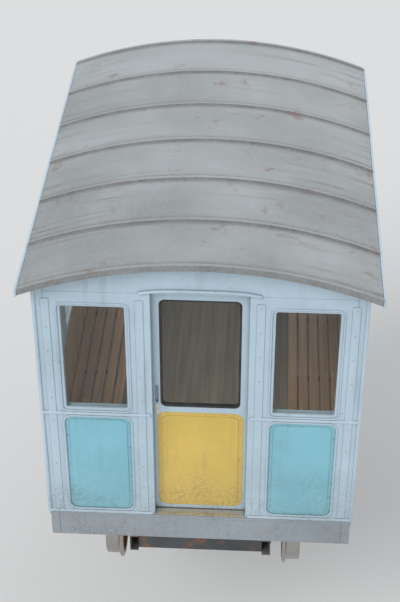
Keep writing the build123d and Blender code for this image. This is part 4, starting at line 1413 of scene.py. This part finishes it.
@dataclass
class Roof:
    """The arched sheet roof with its seams, nails, trim and gutters."""

    seam_height: float = 0.012
    arch_steps: int = 28
    nail: Stud = (0.007, 0.004)
    nail_pitch: float = 0.14
    nail_gap: float = 0.028
    nail_inset: float = 0.03
    trim_radius: float = 0.012
    trim_inset: float = 0.01
    trim_drop: float = 0.014
    lip_radius: float = 0.007
    lip_inset: Pair = (0.008, 0.006)
    gutter_screw: Stud = (0.006, 0.003)
    gutter_screw_pitch: float = 0.3
    gutter_screw_inset: Triple = (0.004, 0.06, 0.012)

    def __post_init__(self) -> None:
        """Reads the sheet's arch, between the seams, from the roof's own mesh."""
        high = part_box("roof")[1]
        self.half_width = high.x
        self.crown = high.z - self.seam_height
        eave = max(p.z for p in islands("roof")[0] if abs(p.x - self.half_width) < MILLIMETRE)
        rise = high.z - eave
        self.radius = (self.half_width ** 2 + rise ** 2) / (2 * rise) - self.seam_height

    def arch(self, y: float, reach: float, lift: float = 0.0) -> list[Vector]:
        """Points over the roof at one place along it.

        Args:
            y: The place along the roof.
            reach: How far they go to each side.
            lift: How far above the sheet they are.

        Returns:
            The points, from side to side.
        """
        xs = [reach * (2 * i / self.arch_steps - 1) for i in range(self.arch_steps + 1)]
        base = self.crown - self.radius
        return [Vector((x, y, base + math.sqrt((self.radius + lift) ** 2 - x * x))) for x in xs]

    def build(self) -> None:
        """Makes every piece of the roof."""
        dress(ROOFING, "roof", ease=5.0)
        dress(PALE_FRAME, "gutters", ease=3.0)
        self.nails()
        self.gutter_lips()
        self.arch_trim()

    def nails(self) -> None:
        """Rows of nails beside each seam, and along the edge between the seams."""
        seams = [SEAM_PITCH * (i - (SEAMS - 1) / 2) for i in range(SEAMS)]
        edge = self.half_width - self.nail_inset
        gaps = (-self.nail_gap, self.nail_gap)
        nails = [Run(self.arch(y + gap, edge)) for y in seams[1:-1] for gap in gaps]
        z = self.arch(0, edge)[0].z
        for face in SIDES:
            for y, beyond in zip(seams[:-1], seams[1:]):
                ends = (y + self.nail_pitch, beyond - self.nail_pitch)
                nails.append(Run([face.at(end, z, edge) for end in ends]))
        RIVET_RUNS.grow("roof_nails", nails, ROOFING, *self.nail, self.nail_pitch)

    def gutter_lips(self) -> None:
        """A rolled lip along the foot of each gutter, and screws that hold it."""
        low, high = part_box("gutters")
        lip = (high.y - 2 * MILLIMETRE, low.z + self.lip_inset[1], high.x - self.lip_inset[0])
        out, end, top = high - Vector(self.gutter_screw_inset)
        lips, screws = [], []
        for face in SIDES:
            lips.append(Run([face.at(hand * lip[0], *lip[1:]) for hand in (-1, 1)]))
            screws.append(Run([face.at(y, top, out) for y in (-end, end)], face.way))
        RODS.grow("gutter_lips", lips, PALE_FRAME, self.lip_radius)
        SCREW_RUNS.grow("gutter_screws", screws, PALE_FRAME, *self.gutter_screw, self.gutter_screw_pitch)

    def arch_trim(self) -> None:
        """A half-round trim on each gable, close under the roof."""
        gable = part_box("uphill_gable")
        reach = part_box("right_side_wall")[1].x - self.trim_inset
        lift = gable[1].z - self.crown - self.trim_drop
        runs = [Run(self.arch(face.side * -gable[0].y, reach, lift)) for face in ENDS]
        RODS.grow("gable_arch_trim", runs, PALE_FRAME, self.trim_radius)


@dataclass
class Cabin:
    """The cabin's walls, panels, windows and mouldings, with its floor frame."""

    panel_corner: float = 0.06
    panel_screw_pitch: float = 0.135
    panel_screw_inset: float = 0.019
    panel_screw_sink: float = 0.004
    bead: float = 0.016
    bead_lift: float = 0.002
    window_corner: float = 0.04
    window_bead: float = 0.0128
    window_gap: float = 0.004
    sash: float = 0.024
    screw: Stud = (0.0055, 0.003)
    screw_margin: float = 0.06
    belt_radius: float = 0.013
    belt_drop: float = 0.022
    eave_reach: float = 0.05
    head_lift: float = 0.05
    deck_lift: float = 0.012
    door_gap: float = 0.014
    drip_radius: float = 0.011
    drip_steps: int = 8
    drip_bend: float = 0.025
    drip_lift: float = 0.03
    drip_out: float = 0.006
    jamb: float = 0.07
    batten_width: float = 0.052
    batten_depth: float = 0.005
    batten_margin: float = 0.03
    batten_lift: float = 0.035
    batten_pitch: float = 0.19
    nosing_depth: float = 0.004
    nosing_inset: float = 0.003
    nosing_pitch: float = 0.17
    rib_inset: float = 0.012
    rib_pitch: float = 0.0115
    rib_width: float = 0.005
    rib_height: float = 0.0018
    ribs: int = 4
    sill_bolt: Stud = (0.014, 0.008)
    sill_bolt_inset: float = 0.05
    end_bolts: tuple[float, ...] = (-0.9, -0.54, -0.18, 0.18, 0.54, 0.9)

    def __post_init__(self) -> None:
        """Reads the cabin's levels and faces from the frame."""
        low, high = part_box("right_side_wall")
        self.half = (high.x, high.y)
        self.wall = high.x - low.x
        self.inner = (self.half[0] - self.wall, self.half[1] - self.wall)
        self.deck = low.z
        self.eave = min(p.z for p in islands("left_side_wall")[0] if p.z > high.z - self.eave_reach)
        self.window_low, self.window_high = (corner.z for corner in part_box("side_windows"))
        self.door_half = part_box("uphill_right_bay")[0].x
        self.door_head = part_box("uphill_right_bay")[1].z

    def build(self) -> None:
        """Makes every piece of the cabin's shell."""
        parts = ("left_bay", "right_bay", "gable")
        ends = [f"{end}_{part}" for end in ("uphill", "downhill") for part in parts]
        dress(PALE_FRAME, "left_side_wall", "right_side_wall", *ends, ease=3.0)
        dress(TURQUOISE, "side_panels", "end_panels", ease=0.8)
        dress(SILL_BLUE, "side_sills", "end_sills", ease=4.0)
        dress(TRUCK, "floor_bearers", ease=3.0)
        dress(DECK, "floor_deck", ease=3.0)
        dress(BRIGHT, "door_thresholds", ease=1.0)
        dress(BRIGHT, "door_guides", ease=2.0)
        glaze("side_windows", "end_windows")
        for node in ("side_panels", "end_panels"):
            self.frame_panels(node, flats(node))
        for node in ("side_windows", "end_windows"):
            self.frame_windows(node, flats(node))
        self.belts()
        self.drip_rails()
        self.battens()
        self.sill_bolts()
        self.deck_nosing()
        self.tread_ribs()

    def frame_panels(self, node: str, panels: list[Flat]) -> None:
        """A half-round bead round every panel of a node, and screws along its border.

        Args:
            node: The node's name.
            panels: Its panels, all of one size.
        """
        size = (panels[0].width, panels[0].height, self.panel_corner, self.bead)
        BEADS.grow(f"{node}_beads", [panel.spot(self.bead_lift) for panel in panels], PALE_FRAME, *size)
        runs = [panel.border(self.panel_screw_inset, self.panel_screw_sink) for panel in panels]
        SCREW_RUNS.grow(f"{node}_screws", runs, TURQUOISE, *self.screw, self.panel_screw_pitch)

    def frame_windows(self, node: str, panes: list[Flat]) -> None:
        """A painted sash outside and inside each pane of a node, and a bead round the opening.

        Args:
            node: The node's name.
            panes: Its panes, all of one size.
        """
        width, height, bead = panes[0].width, panes[0].height, self.sash
        axis = panes[0].face.axis
        outer = self.half[axis]
        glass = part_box(node)[1][axis]
        thickness = 2 * (glass - (outer - self.wall / 2))
        sashes = [pane.spot(out) for pane in panes for out in (bead / 2, -thickness - bead / 2)]
        size = (width - bead, height - bead, self.window_corner - bead / 2, bead)
        SASHES.grow(f"{node}_sashes", sashes, PALE_FRAME, *size)
        size = (width + self.window_gap, height + self.window_gap, self.window_corner, self.window_bead)
        beads = [pane.spot(outer - glass + MILLIMETRE) for pane in panes]
        BEADS.grow(f"{node}_beads", beads, PALE_FRAME, *size)

    def belts(self) -> None:
        """Half-round belts at the waist, over the side windows and at the deck, and beads on the corners."""
        width, length = self.half
        head = self.window_high + self.head_lift
        runs = []
        for z in (self.window_low - self.belt_drop, head, self.deck + self.deck_lift):
            runs += [Run([face.at(y, z, width) for y in (-length, length)]) for face in SIDES]
            if z != head:
                for hand in (-1, 1):
                    reach = (hand * (self.door_half + self.door_gap), hand * width)
                    runs += [Run([face.at(x, z, length) for x in reach]) for face in ENDS]
        levels = (self.deck, self.eave)
        runs += [Run([face.at(y, z, width) for z in levels]) for face in SIDES for y in (-length, length)]
        RODS.grow("belt_mouldings", runs, PALE_FRAME, self.belt_radius)

    def drip_rails(self) -> None:
        """A rail over each doorway, bent down at its ends."""
        reach, z = self.door_half + self.jamb, self.door_head + self.drip_lift
        shares = [i / self.drip_steps for i in range(-self.drip_steps, self.drip_steps + 1)]
        out = self.half[1] + self.drip_out
        runs = [Run([face.at(reach * s, z - self.drip_bend * s ** 4, out) for s in shares]) for face in ENDS]
        RODS.grow("door_drip_rails", runs, PALE_FRAME, self.drip_radius)

    def battens(self) -> None:
        """Cover strips over the side posts and beside the doorway, with their screws."""
        edges = sorted({round(corner.y, 4) for points in islands("side_windows") for corner in span(points)})
        posts = [(a + b) / 2 for a, b in zip(edges[1:-1:2], edges[2:-1:2])]
        far = (self.half[1] + edges[-1]) / 2
        corner = (self.half[0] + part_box("end_windows")[1].x) / 2
        jamb = self.door_half + self.jamb
        low, high = self.deck + self.batten_margin, self.window_high + self.batten_lift
        half, margin = self.batten_width / 2, self.batten_margin
        blocks, screws = [], []
        for faces, places in ((SIDES, (*posts, far, -far)), (ENDS, (-corner, -jamb, jamb, corner))):
            for face in faces:
                root = self.half[face.axis]
                top = root + self.batten_depth
                for at in places:
                    blocks.append(corners(face.at(at - half, low, root), face.at(at + half, high, top)))
                    screws.append(Run([face.at(at, z, top) for z in (low + margin, high - margin)], face.way))
        fit_blocks("post_battens", blocks, PALE_FRAME, ease=1.5)
        SCREW_RUNS.grow("batten_screws", screws, PALE_FRAME, *self.screw, self.batten_pitch)

    def sill_bolts(self) -> None:
        """Carriage bolts through the sills into the floor bearers and corners."""
        low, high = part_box("side_sills")
        heights = (low.z + self.sill_bolt_inset, high.z - self.sill_bolt_inset)
        bearers = [sum(corner.y for corner in span(points)) / 2 for points in islands("floor_bearers")]
        spots = [spot for face in SIDES for spot in face.spots(bearers, heights, high.x)]
        spots += [spot for face in ENDS for spot in face.spots(self.end_bolts, heights, high.y)]
        RIVETS.grow("sill_bolts", spots, SILL_BLUE, *self.sill_bolt)

    def deck_nosing(self) -> None:
        """A flat strip round the deck's edge, with its screws."""
        low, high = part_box("floor_deck")
        foot, top = low.z + self.nosing_inset, high.z - self.nosing_inset
        blocks, screws = [], []
        for face in SIDES + ENDS:
            root, half = high[face.axis], high[1 - face.axis]
            out = root + self.nosing_depth
            reach = half + (self.nosing_depth if face in SIDES else -MILLIMETRE)
            blocks.append(corners(face.at(-reach, foot, root), face.at(reach, top, out)))
            ends = (self.screw_margin - half, half - self.screw_margin)
            screws.append(Run([face.at(end, (foot + top) / 2, out) for end in ends], face.way))
        fit_blocks("deck_nosing", blocks, SILL_BLUE, ease=1.0)
        SCREW_RUNS.grow("nosing_screws", screws, SILL_BLUE, *self.screw, self.nosing_pitch)

    def tread_ribs(self) -> None:
        """Worn ribs across both thresholds."""
        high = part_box("door_thresholds")[1]
        reach, half = high.x - self.rib_inset, self.rib_width / 2
        blocks = []
        for face in ENDS:
            for i in range(self.ribs):
                out = self.half[1] - self.rib_inset - self.rib_pitch * i
                top = face.at(reach, high.z + self.rib_height, out + half)
                blocks.append(corners(face.at(-reach, high.z, out - half), top))
        fit_blocks("threshold_ribs", blocks, BRIGHT, ease=0.6, segments=1)


@dataclass
class EndDoor:
    """One sliding end door: its leaf, panel, glass, gear, handle and fittings."""

    cabin: Cabin
    name: str
    face: Face
    screw: Stud = (0.005, 0.0025)
    screw_pitch: float = 0.13
    screw_inset: float = 0.018
    screw_sink: float = 0.003
    glass_corner: float = 0.04
    strip: float = 0.014
    flange: Stud = (0.02, 0.006)
    flange_inset: float = 0.008
    plate_size: Triple = (0.028, 0.08, 0.002)
    plate_inset: float = 0.03
    plate_drop: float = 0.02

    def build(self) -> None:
        """Makes every piece of the door."""
        door, body = f"{self.name}_door", f"{self.name}_door_leaf"
        dress(PALE_FRAME, door, ease=2.5)
        dress(OCHRE, f"{door}_panel", ease=0.8)
        dress(FITTING, f"{door}_hangers", f"{door}_track", ease=1.0)
        dress(BRIGHT, f"{door}_handle", ease=0.5)
        glaze(f"{door}_glass")
        border = flats(f"{door}_panel")[0].border(self.screw_inset, self.screw_sink)
        SCREW_RUNS.grow(f"{door}_screws", [border], OCHRE, *self.screw, self.screw_pitch, body=body)
        low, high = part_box(f"{door}_glass")
        pane, strip = flats(f"{door}_glass")[0], self.strip
        size = (pane.width - strip, pane.height - strip, self.glass_corner - strip / 2, strip)
        spots = [pane.spot(out) for out in (strip / 2, low.y - high.y - strip / 2)]
        SASHES.grow(f"{door}_glazing", spots, RUBBER, *size, body=body)
        self.handle_plates(body)

    def handle_plates(self, body: str) -> None:
        """Round flanges at the inner handle's feet, and a lock plate outside on the leaf's stile.

        Args:
            body: The body that carries the door.
        """
        low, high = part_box(f"{self.name}_door_handle")
        inner, outer = sorted(map(self.face.depth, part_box(f"{self.name}_door")))
        heights = (low.z + self.flange_inset, high.z - self.flange_inset)
        spots = self.face.back.spots([(low.x + high.x) / 2], heights, -inner)
        SCREWS.grow(f"{self.name}_handle_flanges", spots, BRIGHT, *self.flange, body=body)
        width, height, depth = self.plate_size
        x = self.face.side * (self.cabin.door_half - self.plate_inset)
        z = self.cabin.window_low - self.plate_drop
        start = self.face.at(x - width / 2, z - height / 2, outer)
        block = corners(start, self.face.at(x + width / 2, z + height / 2, outer + depth))
        fit_blocks(f"{self.name}_lock_plate", [block], BRIGHT, ease=0.8, body=body)


@dataclass
class Interior:
    """What shows through the glass: ceiling, wainscot, floor boards, benches and handrails."""

    cabin: Cabin
    board: float = 0.085
    board_gap: float = 0.003
    lining: float = 0.006
    lining_margin: Pair = (0.004, 0.01)
    post_reach: float = 0.14
    deck_board: float = 0.11
    deck_board_depth: float = 0.004
    deck_margin: float = 0.12
    ceiling_depth: float = 0.008
    ceiling_margin: float = 0.005
    bench_screw: Stud = (0.005, 0.0016)
    bench_screw_inset: float = 0.02
    flange: Stud = (0.026, 0.006)
    flange_inset: float = 0.08
    flanges: int = 4

    def build(self) -> None:
        """Makes every piece inside the cabin."""
        dress(SLATS, "bench_slats", ease=5.0)
        dress(FITTING, "bench_brackets", ease=1.5)
        dress(BRIGHT, "handrails", ease=1.0)
        dress(CEILING, "roof_bows", ease=3.0)
        self.bench_screws()
        self.wainscot()
        self.floor_boards()
        self.ceiling()
        self.rail_flanges()

    def rows(self, reach: float, pitch: float) -> list[float]:
        """The middles of the whole boards that fit between a reach to each side."""
        count = int(2 * reach / pitch)
        return [(i - (count - 1) / 2) * pitch for i in range(count)]

    def bench_screws(self) -> None:
        """Two screws in each slat over each bracket."""
        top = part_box("bench_slats")[1].z
        rows = sorted({round(sum(c.y for c in span(points)) / 2, 3) for points in islands("bench_brackets")})
        inset = self.bench_screw_inset
        spots = []
        for low, high in map(span, islands("bench_slats")):
            spots += [Run([Vector((x, y, top))]) for y in rows for x in (low.x + inset, high.x - inset)]
        SCREWS.grow("bench_screws", spots, BRIGHT, *self.bench_screw)

    def wainscot(self) -> None:
        """Upright boards under the side windows."""
        inner, reach = self.cabin.inner[0], self.cabin.inner[1] - self.post_reach
        low = self.cabin.deck + self.lining_margin[0]
        high = self.cabin.window_low - self.lining_margin[1]
        rows = self.rows(reach, self.board)
        out = self.lining / 2 - inner
        spots = [spot for face in SIDES for spot in face.spots(rows, [(low + high) / 2], out)]
        BOARDS.grow("wainscot_boards", spots, LINING, self.board - self.board_gap, self.lining, high - low)

    def floor_boards(self) -> None:
        """Worn boards along the cabin's floor, between the thresholds."""
        long, deck = self.cabin.inner[1] - self.deck_margin, self.cabin.deck
        half = (self.deck_board - self.board_gap) / 2
        blocks = []
        for x in self.rows(self.cabin.inner[0], self.deck_board):
            top = Vector((x + half, long, deck + self.deck_board_depth))
            blocks.append(corners(Vector((x - half, -long, deck)), top))
        fit_blocks("floor_boards", blocks, DECK, ease=1.0, segments=1)

    def ceiling(self) -> None:
        """Narrow boards under the roof, along the cabin, over the bows."""
        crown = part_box("roof_bows")[1].z
        rise = crown - self.cabin.eave
        radius = (self.cabin.half[0] ** 2 + rise ** 2) / (2 * rise)
        long, half = self.cabin.inner[1] - self.ceiling_margin, (self.board - self.board_gap) / 2
        blocks = []
        for middle in self.rows(math.asin(self.cabin.inner[0] / radius) * radius, self.board):
            turns = [(middle + side) / radius for side in (-half, half)]
            depths = (radius - self.ceiling_depth, radius)
            blocks.append([Vector((r * math.sin(turn), y, crown - radius + r * math.cos(turn)))
                           for turn in turns for y in (-long, long) for r in depths])
        fit_blocks("ceiling_boards", blocks, CEILING, ease=1.5, segments=1)

    def rail_flanges(self) -> None:
        """Round flanges where the handrails' brackets meet the walls."""
        low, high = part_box("handrails")
        reach = (high.y - low.y) / 2 - self.flange_inset
        places = [reach * (2 * i / (self.flanges - 1) - 1) for i in range(self.flanges)]
        heights, out = [(low.z + high.z) / 2], -self.cabin.inner[0]
        spots = [spot for face in SIDES for spot in face.spots(places, heights, out)]
        SCREWS.grow("rail_flanges", spots, BRIGHT, *self.flange)


class Lamp(NamedTuple):
    """A soft sun: its name, where it shines from, its strength and the angle that it spans."""

    name: str
    place: Triple
    power: float
    angle: float


@dataclass
class Studio:
    """A plain pale floor, soft lamps and the camera at the photograph's angle."""

    azimuth: float = -3.0
    elevation: float = 36.0
    lens: float = 85.0
    sensor: float = 36.0
    clip_end: float = 500.0
    picture: tuple[int, int] = (400, 602)
    margin: float = 1.07
    floor_reach: float = 300.0
    floor_colour: Colour = (0.74, 0.74, 0.73)
    floor_roughness: float = 0.9
    sky: Colour = (0.93, 0.96, 1.0)
    sky_strength: float = 0.62
    backdrop: Colour = (0.72, 0.736, 0.746)
    lamps: tuple[Lamp, ...] = (
        Lamp("key", (-6.0, -8.0, 9.0), 1.35, 0.5),
        Lamp("side_fill", (7.5, -5.0, 3.5), 0.35, 1.2),
        Lamp("back_fill", (3.5, 8.5, 3.5), 0.45, 1.2),
    )

    def build(self) -> None:
        """Sets the floor, the sky, the lamps and the camera."""
        self.lay_floor()
        self.hang_sky()
        for lamp in self.lamps:
            self.light(lamp)
        self.aim_camera()

    def lay_floor(self) -> None:
        """A wide pale floor that keeps the car's shadow."""
        reach, z = self.floor_reach, CAD_BOX[0][2]
        square = [(-reach, -reach, z), (reach, -reach, z), (reach, reach, z), (-reach, reach, z)]
        floor = draft(square, (), [(0, 1, 2, 3)])
        floor.name = "floor"
        made = bpy.data.materials.new("pale_floor")
        made.use_nodes = True
        made.node_tree.nodes.clear()
        palette = Palette(made)
        palette.end(palette.shader(Base_Color=self.floor_colour, Roughness=self.floor_roughness))
        floor.data.materials.append(made)

    def hang_sky(self) -> None:
        """An even light. The camera, gloss and glass see a backdrop of the far floor's tone instead."""
        world = bpy.data.worlds.new("studio")
        bpy.context.scene.world = world
        world.use_nodes = True
        world.node_tree.nodes.clear()
        wires = Wiring(world.node_tree)
        rays = wires.node("ShaderNodeLightPath").outputs
        seen = rays["Is Camera Ray"]
        for ray in ("Is Transmission Ray", "Is Glossy Ray"):
            seen = wires.most(seen, rays[ray])
        skies = ((self.sky, self.sky_strength), (self.backdrop, 1.0))
        plain, pale = (wires.first("ShaderNodeBackground", {"Color": opaque(colour), "Strength": strength})
                       for colour, strength in skies)
        both = wires.first("ShaderNodeMixShader", {0: seen, 1: plain, 2: pale})
        wires.node("ShaderNodeOutputWorld", {"Surface": both})

    def light(self, lamp: Lamp) -> None:
        """Hangs one lamp, which shines towards the car and lights the floor evenly.

        Args:
            lamp: The lamp.
        """
        data = bpy.data.lights.new(lamp.name, "SUN")
        data.energy, data.angle = lamp.power, lamp.angle
        sun = bpy.data.objects.new(lamp.name, data)
        sun.visible_transmission = False
        sun.rotation_euler = (-Vector(lamp.place)).to_track_quat("-Z", "Y").to_euler()
        bpy.context.collection.objects.link(sun)

    def aim_camera(self) -> None:
        """The camera at the photograph's angle, centred and just far enough to hold the whole car."""
        data = bpy.data.cameras.new("camera")
        data.lens, data.sensor_fit = self.lens, "VERTICAL"
        data.sensor_height, data.clip_end = self.sensor, self.clip_end
        turn, rise = math.radians(self.azimuth), math.radians(self.elevation)
        back = Vector((-math.sin(turn) * math.cos(rise), -math.cos(turn) * math.cos(rise), math.sin(rise)))
        rotation = (-back).to_track_quat("-Z", "Y")
        right, up = rotation @ X_WAY, rotation @ DOWNHILL.way
        tall = self.sensor / 2 / self.lens / self.margin
        wide = tall * self.picture[0] / self.picture[1]
        spots = [v.co for node in frame["nodes"].values() for v in node.data.vertices]
        place = Vector((0, 0, 0))
        for axis, reach in ((right, wide), (up, tall)):
            fore = max(s.dot(back) + s.dot(axis) / reach for s in spots)
            hind = max(s.dot(back) - s.dot(axis) / reach for s in spots)
            place += axis * (fore - hind) * reach / 2
            place += back * max(0.0, (fore + hind) / 2 - place.dot(back))
        camera = bpy.data.objects.new("camera", data)
        camera.location = place
        camera.rotation_euler = rotation.to_euler()
        bpy.context.collection.objects.link(camera)
        bpy.context.scene.camera = camera


def main() -> None:
    """Builds the car's looks, sub-assembly by sub-assembly."""
    logging.basicConfig(level=logging.INFO, format="%(name)s %(message)s")
    bpy.context.scene.view_settings.view_transform = "Standard"
    cabin = Cabin()
    doors = (EndDoor(cabin, "uphill", UPHILL), EndDoor(cabin, "downhill", DOWNHILL))
    wheelsets = (Wheelset("upper"), Wheelset("lower"))
    for part in (Truck(), *wheelsets, cabin, *doors, Roof(), Interior(cabin), Studio()):
        part.build()
        log.info("%s is done", type(part).__name__)


if __name__ == "__main__":
    main()
